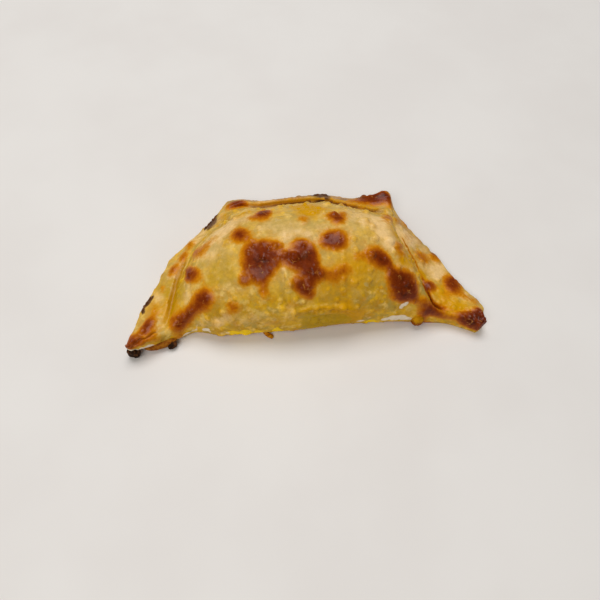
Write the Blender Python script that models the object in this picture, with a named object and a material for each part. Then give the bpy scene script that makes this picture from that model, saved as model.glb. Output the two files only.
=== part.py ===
"""A baked empanada: one half-moon turnover of dough, its round edge folded in straight folds into a hem.

The form is a loft. Each rib runs from the closed front fold to the outer edge of the hem and holds one
section: flat underside, swollen front, crest, back slope, crease, hem. Sizes are in millimetres and are
turned into metres at the end. +X runs from the left tip to the right tip, +Y from the front fold to the
hem and +Z up. The origin is the middle of the bounding box's bottom.
"""

import bpy
import bmesh
import numpy as np

MM = 0.001

# Corners of the hem in plan, from the left tip round the back to the right tip
HEM = [(-87.8, -2.5), (-86.0, 4.0), (-82.8, 18.0), (-77.0, 29.5), (-70.0, 47.5), (-44.5, 75.5), (-38.5, 84.5),
       (-30.0, 86.5), (-21.0, 84.2), (16.0, 87.0), (32.5, 82.0), (46.0, 80.5), (54.5, 81.0), (57.0, 71.0),
       (60.5, 62.0), (74.0, 40.0), (79.5, 26.0), (91.0, 6.5), (88.8, -2.0)]
HEM_ROUND = 6.0      # length over which a corner of the hem is rounded
# The closed front fold in plan, from the left tip to the right tip
FRONT = [(-85.6, -5.2), (-71.0, 0.0), (-57.0, 5.2), (-44.0, 1.0), (-6.0, 0.0), (20.0, 1.6), (44.0, 2.3),
         (60.0, 1.8), (70.0, 0.8), (77.0, -2.4), (84.4, -6.0)]
FRONT_ROUND = 12.0

# Sizes along the part: (share of the way from the left tip to the right tip, size)
HEM_WIDTH = [(0, 3), (0.04, 9.5), (0.08, 18), (0.112, 22), (0.15, 19.5), (0.20, 15.0), (0.25, 8.0), (0.29, 7.5),
             (0.333, 11.6), (0.38, 11.4), (0.45, 10.5), (0.53, 11.5), (0.61, 13.0), (0.667, 16.5), (0.70, 21.2),
             (0.74, 24.4), (0.77, 26.6), (0.80, 29.2), (0.825, 32), (0.845, 32.6), (0.865, 30.5), (0.90, 23), (0.95, 12), (1, 4)]
UNDER_Z = [(0, 6.0), (0.03, 5.0), (0.07, 3.0), (0.11, 1.0), (0.15, 0.0), (1, 0.0)]      # underside: only the left tip lifts
CREST = [(0, 10.5), (0.05, 10.5), (0.10, 10.0), (0.14, 12.5), (0.19, 19.5), (0.25, 27.5), (0.33, 35.5), (0.42, 40.5),
         (0.52, 41.6), (0.61, 40.9), (0.69, 37.3), (0.765, 29.2), (0.82, 18.4), (0.86, 11.4), (0.90, 8.8), (1, 8.5)]
CREASE_Z = [(0, 10.0), (0.06, 8.8), (0.12, 7.2), (0.20, 7.5), (0.30, 10.0), (0.42, 12.8), (0.55, 13.0), (0.66, 12.2),
            (0.70, 13.5), (0.74, 14.0), (0.77, 12.8), (0.80, 10.0), (0.83, 7.2), (0.875, 6.0), (0.92, 8.5), (1, 8.5)]
EDGE_Z = [(0, 8.0), (0.05, 6.5), (0.10, 5.0), (0.30, 4.5), (0.345, 6.5), (0.42, 5.0), (0.54, 5.5), (0.62, 7.0),
          (0.672, 12.5), (0.705, 7.0), (0.80, 5.0), (0.90, 4.5), (1, 4.5)]                # the two back corners turn up
LIP = [(0, 0.6), (0.05, 0.6), (0.12, 1.8), (0.20, 1.6), (0.27, 0.8), (0.35, 1.1), (0.50, 1.4), (0.60, 1.2),
       (0.665, 0.4), (0.72, 0.6), (0.78, 1.2), (0.81, 2.2), (0.845, 3.2), (0.88, 2.2), (0.93, 0.4), (1, 0.4)]
# The body's arch, from its foot at the front to the crease: (share of the body's depth, share of its height)
ARCH = [(0.055, 0.0), (0.012, 0.10), (0.0, 0.22), (0.012, 0.40), (0.05, 0.58), (0.12, 0.76), (0.22, 0.905),
        (0.34, 0.985), (0.46, 1.0), (0.58, 0.955), (0.70, 0.85), (0.81, 0.69), (0.905, 0.50)]
ARCH_CREST = 0.46    # share of the depth where the arch is highest
ARCH_FOOT = 0.33     # share of the height that the back slope's curve would reach at the crease

DENT_X, DENT_HALF, DENT_Z, DENT_DEEP = 9.0, 13.0, 10.5, 1.8     # hollow low in the front, under a fold line
FOLD_Z, FOLD_OUT = 18.5, 0.7                                    # the fold line above it

# Lumps of dough under the edge: centre, half sizes, turn about Z in degrees
BURNT_FOOT = ((-85.8, -3.9, 3.5), (2.7, 2.3, 3.5), -15)
LOWER_LAYER = ((-74.0, 2.2, 2.7), (8.8, 5.2, 2.2), 14)
KNOB = ((54.9, 4.0, 4.1), (3.5, 4.8, 3.7), 0)

STATIONS, ARCH_ROWS, HEM_ROWS, UNDER_ROWS = 112, 23, 12, 6
NOSE_RINGS, NOSE_OUT = 2, 1.6


def smoothstep(a, b, x):
    t = np.clip((x - a) / (b - a), 0, 1)
    return t * t * (3 - 2 * t)


def bump(x, centre, half):
    return np.exp(-((x - centre) / half) ** 2)


def keyed(x, keys):
    """A smooth curve through (share, size) keys that never swings past them."""
    at, size = np.array(keys, float).T
    step = np.diff(at)
    rise = np.diff(size) / step
    slope = np.zeros(len(at))
    both = rise[:-1] + rise[1:]
    slope[1:-1] = np.where(rise[:-1] * rise[1:] > 0, 2 * rise[:-1] * rise[1:] / np.where(both == 0, 1, both), 0)
    i = np.clip(np.searchsorted(at, x, side="right") - 1, 0, len(step) - 1)
    t = (x - at[i]) / step[i]
    return ((2 * t**3 - 3 * t**2 + 1) * size[i] + (t**3 - 2 * t**2 + t) * step[i] * slope[i]
            + (3 * t**2 - 2 * t**3) * size[i + 1] + (t**3 - t**2) * step[i] * slope[i + 1])


def rounded(corners, share, radius):
    """Points at these shares of the length of a polyline whose corners are rounded."""
    p = np.array(corners, float)
    side = np.hypot(*np.diff(p, axis=0).T)
    along = np.r_[0, np.cumsum(side)]
    step = 0.25
    t = np.arange(-2 * radius, along[-1] + 2 * radius, step)
    width = int(radius / step) | 1
    weights = np.hanning(width + 2)[1:-1]
    weights /= weights.sum()
    line = []
    for k in (0, 1):
        v = np.interp(t, along, p[:, k])
        v = np.where(t < 0, p[0, k] + (p[1, k] - p[0, k]) / side[0] * t, v)
        v = np.where(t > along[-1], p[-1, k] + (p[-1, k] - p[-2, k]) / side[-1] * (t - along[-1]), v)
        line.append(np.convolve(v, weights, "same"))
    line = np.stack(line, 1)[(t >= 0) & (t <= along[-1])]
    length = np.r_[0, np.cumsum(np.hypot(*np.diff(line, axis=0).T))]
    return np.stack([np.interp(share * length[-1], length, line[:, k]) for k in (0, 1)], -1)


def spline(controls, per):
    """Catmull-Rom curves through controls (stations, controls, 2), with this many steps to each control."""
    count = controls.shape[1]
    u = np.linspace(0, count - 1, (count - 1) * per + 1)
    i = np.minimum(u.astype(int), count - 2)
    t = (u - i)[:, None]
    a, b, c, d = (controls[:, np.clip(i + k, 0, count - 1)] for k in (-1, 0, 1, 2))
    return 0.5 * (2 * b + (c - a) * t + (2 * a - 5 * b + 4 * c - d) * t**2 + (3 * b - a - 3 * c + d) * t**3)


def evenly(lines, count, last):
    """Each line of (stations, points, 2) as this many points evenly spaced on it."""
    side = np.linalg.norm(np.diff(lines, axis=1), axis=2)
    along = np.concatenate([np.zeros((len(lines), 1)), np.cumsum(side, 1)], 1)
    share = np.linspace(0, 1, count, endpoint=last)
    return np.stack([np.stack([np.interp(share * a[-1], a, line[:, k]) for k in (0, 1)], -1)
                     for a, line in zip(along, lines)])


def section_controls(s, deep):
    """Each station's section: (distance from the front fold along the rib, height) of its controls."""
    hem = np.minimum(keyed(s, HEM_WIDTH), deep * 0.86)
    body = deep - hem
    under, crest, crease, edge, lip = (keyed(s, k) for k in (UNDER_Z, CREST, CREASE_Z, EDGE_Z, LIP))
    points = []
    for u, v in ARCH:
        front = under + (crest - under) * v
        back = crease + (crest - crease) * (v - ARCH_FOOT) / (1 - ARCH_FOOT)
        points.append((u * body, front if u <= ARCH_CREST else back))
    points += [
        (body, crease),
        (body + 0.16 * hem, crease + lip),
        (body + 0.42 * hem, crease * 0.78 + edge * 0.22 + lip * 0.9),
        (body + 0.72 * hem, crease * 0.35 + edge * 0.65 + 0.4 + lip * 0.4),
        (body + 0.93 * hem, edge + 0.9),
        (body + hem, edge - 0.4),
        (body + 0.95 * hem, np.maximum(edge - 2.4, under + 0.8)),
        (body + 0.80 * hem, under),
    ]
    return np.stack([np.stack(p, -1) for p in points], 1)


def crust_rings():
    """Points (stations, rows, 3) of the whole surface but for its two ends."""
    s = np.linspace(0, 1, STATIONS)
    front, outer = rounded(FRONT, s, FRONT_ROUND), rounded(HEM, s, HEM_ROUND)
    deep = np.hypot(*(outer - front).T)
    way = (outer - front) / deep[:, None]
    fine = spline(section_controls(s, deep), 24)
    cut = len(ARCH) * 24
    arch = evenly(fine[:, :cut + 1], ARCH_ROWS, False)
    hem = evenly(fine[:, cut:], HEM_ROWS, True)
    across = np.linspace(0, 1, UNDER_ROWS + 2)[None, 1:-1, None]
    under = hem[:, -1:] + (arch[:, :1] - hem[:, -1:]) * across
    ring = np.concatenate([arch, hem, under], 1)
    x = front[:, None, 0] + way[:, None, 0] * ring[..., 0]
    y = front[:, None, 1] + way[:, None, 1] * ring[..., 0]
    z = ring[..., 1]
    low = 1 - smoothstep(6, 16, ring[..., 0])
    y = (y + low * DENT_DEEP * bump(x, DENT_X, DENT_HALF) * bump(z, DENT_Z, 5)
         - low * FOLD_OUT * bump(x, DENT_X + 3, DENT_HALF + 7) * bump(z, FOLD_Z, 3))
    return np.stack([x, y, z], -1)


def crust():
    """Vertices and faces of the closed loft, with a small rounded nose at each tip."""
    rings = crust_rings()
    stations, rows = rings.shape[:2]
    layers = list(rings)
    for end, way in ((rings[0], -1), (rings[-1], 1)):
        middle = end.mean(0)
        nose = []
        for k in range(1, NOSE_RINGS + 1):
            turn = np.pi / 2 * k / (NOSE_RINGS + 1)
            nose.append(middle + (end - middle) * np.cos(turn) + np.array([way * NOSE_OUT * np.sin(turn), 0, 0]))
        layers = nose[::-1] + layers if way < 0 else layers + nose
    vertices = np.concatenate(layers)
    count = len(layers)
    faces = []
    for i in range(count - 1):
        for j in range(rows):
            k = (j + 1) % rows
            faces.append((i * rows + j, i * rows + k, (i + 1) * rows + k, (i + 1) * rows + j))
    ends = [layers[0].mean(0) + [-NOSE_OUT * 0.14, 0, 0], layers[-1].mean(0) + [NOSE_OUT * 0.14, 0, 0]]
    first, last = len(vertices), len(vertices) + 1
    for j in range(rows):
        k = (j + 1) % rows
        faces.append((first, k, j))
        faces.append((last, (count - 1) * rows + j, (count - 1) * rows + k))
    return np.concatenate([vertices, ends]), faces


def lump(centre, half, turn, around=22, up=12, square=2.6):
    """A squarish ball of dough."""
    def power(v):
        return np.sign(v) * np.abs(v) ** (2 / square)
    points = [(0, 0, -1)]
    for i in range(1, up):
        lat = np.pi * (i / up - 0.5)
        for j in range(around):
            lon = 2 * np.pi * j / around
            points.append((power(np.cos(lat)) * power(np.cos(lon)), power(np.cos(lat)) * power(np.sin(lon)), power(np.sin(lat))))
    points.append((0, 0, 1))
    points = np.array(points) * half
    a = np.radians(turn)
    points[:, :2] = points[:, :2] @ np.array([[np.cos(a), np.sin(a)], [-np.sin(a), np.cos(a)]])
    faces = []
    for j in range(around):
        k = (j + 1) % around
        faces.append((0, 1 + k, 1 + j))
        top = 1 + (up - 2) * around
        faces.append((len(points) - 1, top + j, top + k))
        for i in range(up - 2):
            a0, a1 = 1 + i * around, 1 + (i + 1) * around
            faces.append((a0 + j, a0 + k, a1 + k, a1 + j))
    return points + centre, faces


def make_object(name, points, faces, material):
    mesh = bpy.data.meshes.new(name)
    mesh.from_pydata([tuple(p) for p in points * MM], [], faces)
    work = bmesh.new()
    work.from_mesh(mesh)
    bmesh.ops.recalc_face_normals(work, faces=work.faces)
    work.to_mesh(mesh)
    work.free()
    mesh.materials.append(material)
    mesh.shade_smooth()
    obj = bpy.data.objects.new(name, mesh)
    bpy.context.scene.collection.objects.link(obj)
    return obj


for old in list(bpy.data.objects):
    bpy.data.objects.remove(old)

baked = bpy.data.materials.new("baked_crust")
baked.use_nodes = True
shader = baked.node_tree.nodes["Principled BSDF"]
shader.inputs["Base Color"].default_value = (0.52, 0.30, 0.07, 1)
shader.inputs["Roughness"].default_value = 0.45

shapes = {"empanada": crust(), "burnt_foot": lump(*BURNT_FOOT), "lower_layer": lump(*LOWER_LAYER), "knob": lump(*KNOB)}
low = np.min([points.min(0) for points, _ in shapes.values()], axis=0)
high = np.max([points.max(0) for points, _ in shapes.values()], axis=0)
origin = np.array([(low[0] + high[0]) / 2, (low[1] + high[1]) / 2, low[2]])
made = {name: make_object(name, points - origin, faces, baked) for name, (points, faces) in shapes.items()}
for name in ("burnt_foot", "lower_layer", "knob"):
    made[name].hide_render = True
    made[name].hide_set(True)
    join = made["empanada"].modifiers.new(name, "BOOLEAN")
    join.operation = "UNION"
    join.solver = "EXACT"
    join.object = made[name]
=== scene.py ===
"""Looks of the baked empanada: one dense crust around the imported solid, its small burnt bits and a drip of egg wash.

Sizes here are millimetres in the part's own drawing frame, as in the form's functions below, and every piece
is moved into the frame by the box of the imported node.
"""
import math
import bpy
import numpy as np
from mathutils import Matrix, Vector


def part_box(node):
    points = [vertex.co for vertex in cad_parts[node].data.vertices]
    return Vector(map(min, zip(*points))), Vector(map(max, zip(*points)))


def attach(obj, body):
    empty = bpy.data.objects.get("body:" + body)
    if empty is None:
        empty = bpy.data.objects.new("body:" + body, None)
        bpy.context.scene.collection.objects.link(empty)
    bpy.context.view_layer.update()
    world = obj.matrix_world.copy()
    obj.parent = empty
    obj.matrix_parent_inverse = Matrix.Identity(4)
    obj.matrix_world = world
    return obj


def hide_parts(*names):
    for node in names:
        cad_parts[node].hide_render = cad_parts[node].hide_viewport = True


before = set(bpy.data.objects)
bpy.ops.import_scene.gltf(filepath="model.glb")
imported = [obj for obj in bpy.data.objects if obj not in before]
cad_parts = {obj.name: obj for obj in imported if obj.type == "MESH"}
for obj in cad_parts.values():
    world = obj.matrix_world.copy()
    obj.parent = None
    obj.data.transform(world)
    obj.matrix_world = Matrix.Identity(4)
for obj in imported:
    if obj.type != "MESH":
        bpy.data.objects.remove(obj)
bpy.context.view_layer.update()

MM = 0.001

# ---------------------------------------------------------------- the form, as in the solid
# Corners of the hem in plan, from the left tip round the back to the right tip
HEM = [(-87.8, -2.5), (-86.0, 4.0), (-82.8, 18.0), (-77.0, 29.5), (-70.0, 47.5), (-44.5, 75.5), (-38.5, 84.5),
       (-30.0, 86.5), (-21.0, 84.2), (16.0, 87.0), (32.5, 82.0), (46.0, 80.5), (54.5, 81.0), (57.0, 71.0),
       (60.5, 62.0), (74.0, 40.0), (79.5, 26.0), (91.0, 6.5), (88.8, -2.0)]
HEM_ROUND = 6.0      # length over which a corner of the hem is rounded
# The closed front fold in plan, from the left tip to the right tip
FRONT = [(-85.6, -5.2), (-71.0, 0.0), (-57.0, 5.2), (-44.0, 1.0), (-6.0, 0.0), (20.0, 1.6), (44.0, 2.3),
         (60.0, 1.8), (70.0, 0.8), (77.0, -2.4), (84.4, -6.0)]
FRONT_ROUND = 12.0

# Sizes along the part: (share of the way from the left tip to the right tip, size)
HEM_WIDTH = [(0, 3), (0.04, 9.5), (0.08, 18), (0.112, 22), (0.15, 19.5), (0.20, 15.0), (0.25, 8.0), (0.29, 7.5),
             (0.333, 11.6), (0.38, 11.4), (0.45, 10.5), (0.53, 11.5), (0.61, 13.0), (0.667, 16.5), (0.70, 21.2),
             (0.74, 24.4), (0.77, 26.6), (0.80, 29.2), (0.825, 32), (0.845, 32.6), (0.865, 30.5), (0.90, 23), (0.95, 12), (1, 4)]
UNDER_Z = [(0, 6.0), (0.03, 5.0), (0.07, 3.0), (0.11, 1.0), (0.15, 0.0), (1, 0.0)]      # underside: only the left tip lifts
CREST = [(0, 10.5), (0.05, 10.5), (0.10, 10.0), (0.14, 12.5), (0.19, 19.5), (0.25, 27.5), (0.33, 35.5), (0.42, 40.5),
         (0.52, 41.6), (0.61, 40.9), (0.69, 37.3), (0.765, 29.2), (0.82, 18.4), (0.86, 11.4), (0.90, 8.8), (1, 8.5)]
CREASE_Z = [(0, 10.0), (0.06, 8.8), (0.12, 7.2), (0.20, 7.5), (0.30, 10.0), (0.42, 12.8), (0.55, 13.0), (0.66, 12.2),
            (0.70, 13.5), (0.74, 14.0), (0.77, 12.8), (0.80, 10.0), (0.83, 7.2), (0.875, 6.0), (0.92, 8.5), (1, 8.5)]
EDGE_Z = [(0, 8.0), (0.05, 6.5), (0.10, 5.0), (0.30, 4.5), (0.345, 6.5), (0.42, 5.0), (0.54, 5.5), (0.62, 7.0),
          (0.672, 12.5), (0.705, 7.0), (0.80, 5.0), (0.90, 4.5), (1, 4.5)]                # the two back corners turn up
LIP = [(0, 0.6), (0.05, 0.6), (0.12, 1.8), (0.20, 1.6), (0.27, 0.8), (0.35, 1.1), (0.50, 1.4), (0.60, 1.2),
       (0.665, 0.4), (0.72, 0.6), (0.78, 1.2), (0.81, 2.2), (0.845, 3.2), (0.88, 2.2), (0.93, 0.4), (1, 0.4)]
# The body's arch, from its foot at the front to the crease: (share of the body's depth, share of its height)
ARCH = [(0.055, 0.0), (0.012, 0.10), (0.0, 0.22), (0.012, 0.40), (0.05, 0.58), (0.12, 0.76), (0.22, 0.905),
        (0.34, 0.985), (0.46, 1.0), (0.58, 0.955), (0.70, 0.85), (0.81, 0.69), (0.905, 0.50)]
ARCH_CREST = 0.46    # share of the depth where the arch is highest
ARCH_FOOT = 0.33     # share of the height that the back slope's curve would reach at the crease

DENT_X, DENT_HALF, DENT_Z, DENT_DEEP = 9.0, 13.0, 10.5, 1.8     # hollow low in the front, under a fold line
FOLD_Z, FOLD_OUT = 18.5, 0.7                                    # the fold line above it

# Lumps of dough under the edge: centre, half sizes, turn about Z in degrees
BURNT_FOOT = ((-85.8, -3.9, 3.5), (2.7, 2.3, 3.5), -15)
LOWER_LAYER = ((-74.0, 2.2, 2.7), (8.8, 5.2, 2.2), 14)
KNOB = ((54.9, 4.0, 4.1), (3.5, 4.8, 3.7), 0)

STATIONS, ARCH_ROWS, HEM_ROWS, UNDER_ROWS = 112, 23, 12, 6
NOSE_RINGS, NOSE_OUT = 2, 1.6


def smoothstep(a, b, x):
    t = np.clip((x - a) / (b - a), 0, 1)
    return t * t * (3 - 2 * t)


def bump(x, centre, half):
    return np.exp(-((x - centre) / half) ** 2)


def keyed(x, keys):
    """A smooth curve through (share, size) keys that never swings past them."""
    at, size = np.array(keys, float).T
    step = np.diff(at)
    rise = np.diff(size) / step
    slope = np.zeros(len(at))
    both = rise[:-1] + rise[1:]
    slope[1:-1] = np.where(rise[:-1] * rise[1:] > 0, 2 * rise[:-1] * rise[1:] / np.where(both == 0, 1, both), 0)
    i = np.clip(np.searchsorted(at, x, side="right") - 1, 0, len(step) - 1)
    t = (x - at[i]) / step[i]
    return ((2 * t**3 - 3 * t**2 + 1) * size[i] + (t**3 - 2 * t**2 + t) * step[i] * slope[i]
            + (3 * t**2 - 2 * t**3) * size[i + 1] + (t**3 - t**2) * step[i] * slope[i + 1])


def rounded(corners, share, radius):
    """Points at these shares of the length of a polyline whose corners are rounded."""
    p = np.array(corners, float)
    side = np.hypot(*np.diff(p, axis=0).T)
    along = np.r_[0, np.cumsum(side)]
    step = 0.25
    t = np.arange(-2 * radius, along[-1] + 2 * radius, step)
    width = int(radius / step) | 1
    weights = np.hanning(width + 2)[1:-1]
    weights /= weights.sum()
    line = []
    for k in (0, 1):
        v = np.interp(t, along, p[:, k])
        v = np.where(t < 0, p[0, k] + (p[1, k] - p[0, k]) / side[0] * t, v)
        v = np.where(t > along[-1], p[-1, k] + (p[-1, k] - p[-2, k]) / side[-1] * (t - along[-1]), v)
        line.append(np.convolve(v, weights, "same"))
    line = np.stack(line, 1)[(t >= 0) & (t <= along[-1])]
    length = np.r_[0, np.cumsum(np.hypot(*np.diff(line, axis=0).T))]
    return np.stack([np.interp(share * length[-1], length, line[:, k]) for k in (0, 1)], -1)


def spline(controls, per):
    """Catmull-Rom curves through controls (stations, controls, 2), with this many steps to each control."""
    count = controls.shape[1]
    u = np.linspace(0, count - 1, (count - 1) * per + 1)
    i = np.minimum(u.astype(int), count - 2)
    t = (u - i)[:, None]
    a, b, c, d = (controls[:, np.clip(i + k, 0, count - 1)] for k in (-1, 0, 1, 2))
    return 0.5 * (2 * b + (c - a) * t + (2 * a - 5 * b + 4 * c - d) * t**2 + (3 * b - a - 3 * c + d) * t**3)


def evenly(lines, count, last):
    """Each line of (stations, points, 2) as this many points evenly spaced on it."""
    side = np.linalg.norm(np.diff(lines, axis=1), axis=2)
    along = np.concatenate([np.zeros((len(lines), 1)), np.cumsum(side, 1)], 1)
    share = np.linspace(0, 1, count, endpoint=last)
    return np.stack([np.stack([np.interp(share * a[-1], a, line[:, k]) for k in (0, 1)], -1)
                     for a, line in zip(along, lines)])


def section_controls(s, deep):
    """Each station's section: (distance from the front fold along the rib, height) of its controls."""
    hem = np.minimum(keyed(s, HEM_WIDTH), deep * 0.86)
    body = deep - hem
    under, crest, crease, edge, lip = (keyed(s, k) for k in (UNDER_Z, CREST, CREASE_Z, EDGE_Z, LIP))
    points = []
    for u, v in ARCH:
        front = under + (crest - under) * v
        back = crease + (crest - crease) * (v - ARCH_FOOT) / (1 - ARCH_FOOT)
        points.append((u * body, front if u <= ARCH_CREST else back))
    points += [
        (body, crease),
        (body + 0.16 * hem, crease + lip),
        (body + 0.42 * hem, crease * 0.78 + edge * 0.22 + lip * 0.9),
        (body + 0.72 * hem, crease * 0.35 + edge * 0.65 + 0.4 + lip * 0.4),
        (body + 0.93 * hem, edge + 0.9),
        (body + hem, edge - 0.4),
        (body + 0.95 * hem, np.maximum(edge - 2.4, under + 0.8)),
        (body + 0.80 * hem, under),
    ]
    return np.stack([np.stack(p, -1) for p in points], 1)

def dense_rings(stations, top_rows, under_rows):
    """The same loft as the CAD's, more finely: rows evenly spaced from the front foot over the top to the hem's under-edge, then the underside."""
    s = np.linspace(0, 1, stations)
    front, outer = rounded(FRONT, s, FRONT_ROUND), rounded(HEM, s, HEM_ROUND)
    deep = np.hypot(*(outer - front).T)
    way = (outer - front) / deep[:, None]
    top = evenly(spline(section_controls(s, deep), 24), top_rows, True)
    across = np.linspace(0, 1, under_rows + 2)[None, 1:-1, None]
    ring = np.concatenate([top, top[:, -1:] + (top[:, :1] - top[:, -1:]) * across], 1)
    x = front[:, None, 0] + way[:, None, 0] * ring[..., 0]
    y = front[:, None, 1] + way[:, None, 1] * ring[..., 0]
    z = ring[..., 1]
    low = 1 - smoothstep(6, 16, ring[..., 0])
    y = (y + low * DENT_DEEP * bump(x, DENT_X, DENT_HALF) * bump(z, DENT_Z, 5)
         - low * FOLD_OUT * bump(x, DENT_X + 3, DENT_HALF + 7) * bump(z, FOLD_Z, 3))
    return np.stack([x, y, z], -1)


def lump(centre, half, turn, around=22, up=12, square=2.6):
    """A squarish ball of dough."""
    def power(v):
        return np.sign(v) * np.abs(v) ** (2 / square)
    points = [(0, 0, -1)]
    for i in range(1, up):
        lat = np.pi * (i / up - 0.5)
        for j in range(around):
            lon = 2 * np.pi * j / around
            points.append((power(np.cos(lat)) * power(np.cos(lon)), power(np.cos(lat)) * power(np.sin(lon)), power(np.sin(lat))))
    points.append((0, 0, 1))
    points = np.array(points) * half
    a = np.radians(turn)
    points[:, :2] = points[:, :2] @ np.array([[np.cos(a), np.sin(a)], [-np.sin(a), np.cos(a)]])
    faces = []
    for j in range(around):
        k = (j + 1) % around
        faces.append((0, 1 + k, 1 + j))
        top = 1 + (up - 2) * around
        faces.append((len(points) - 1, top + j, top + k))
        for i in range(up - 2):
            a0, a1 = 1 + i * around, 1 + (i + 1) * around
            faces.append((a0 + j, a0 + k, a1 + k, a1 + j))
    return points + centre, faces

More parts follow.
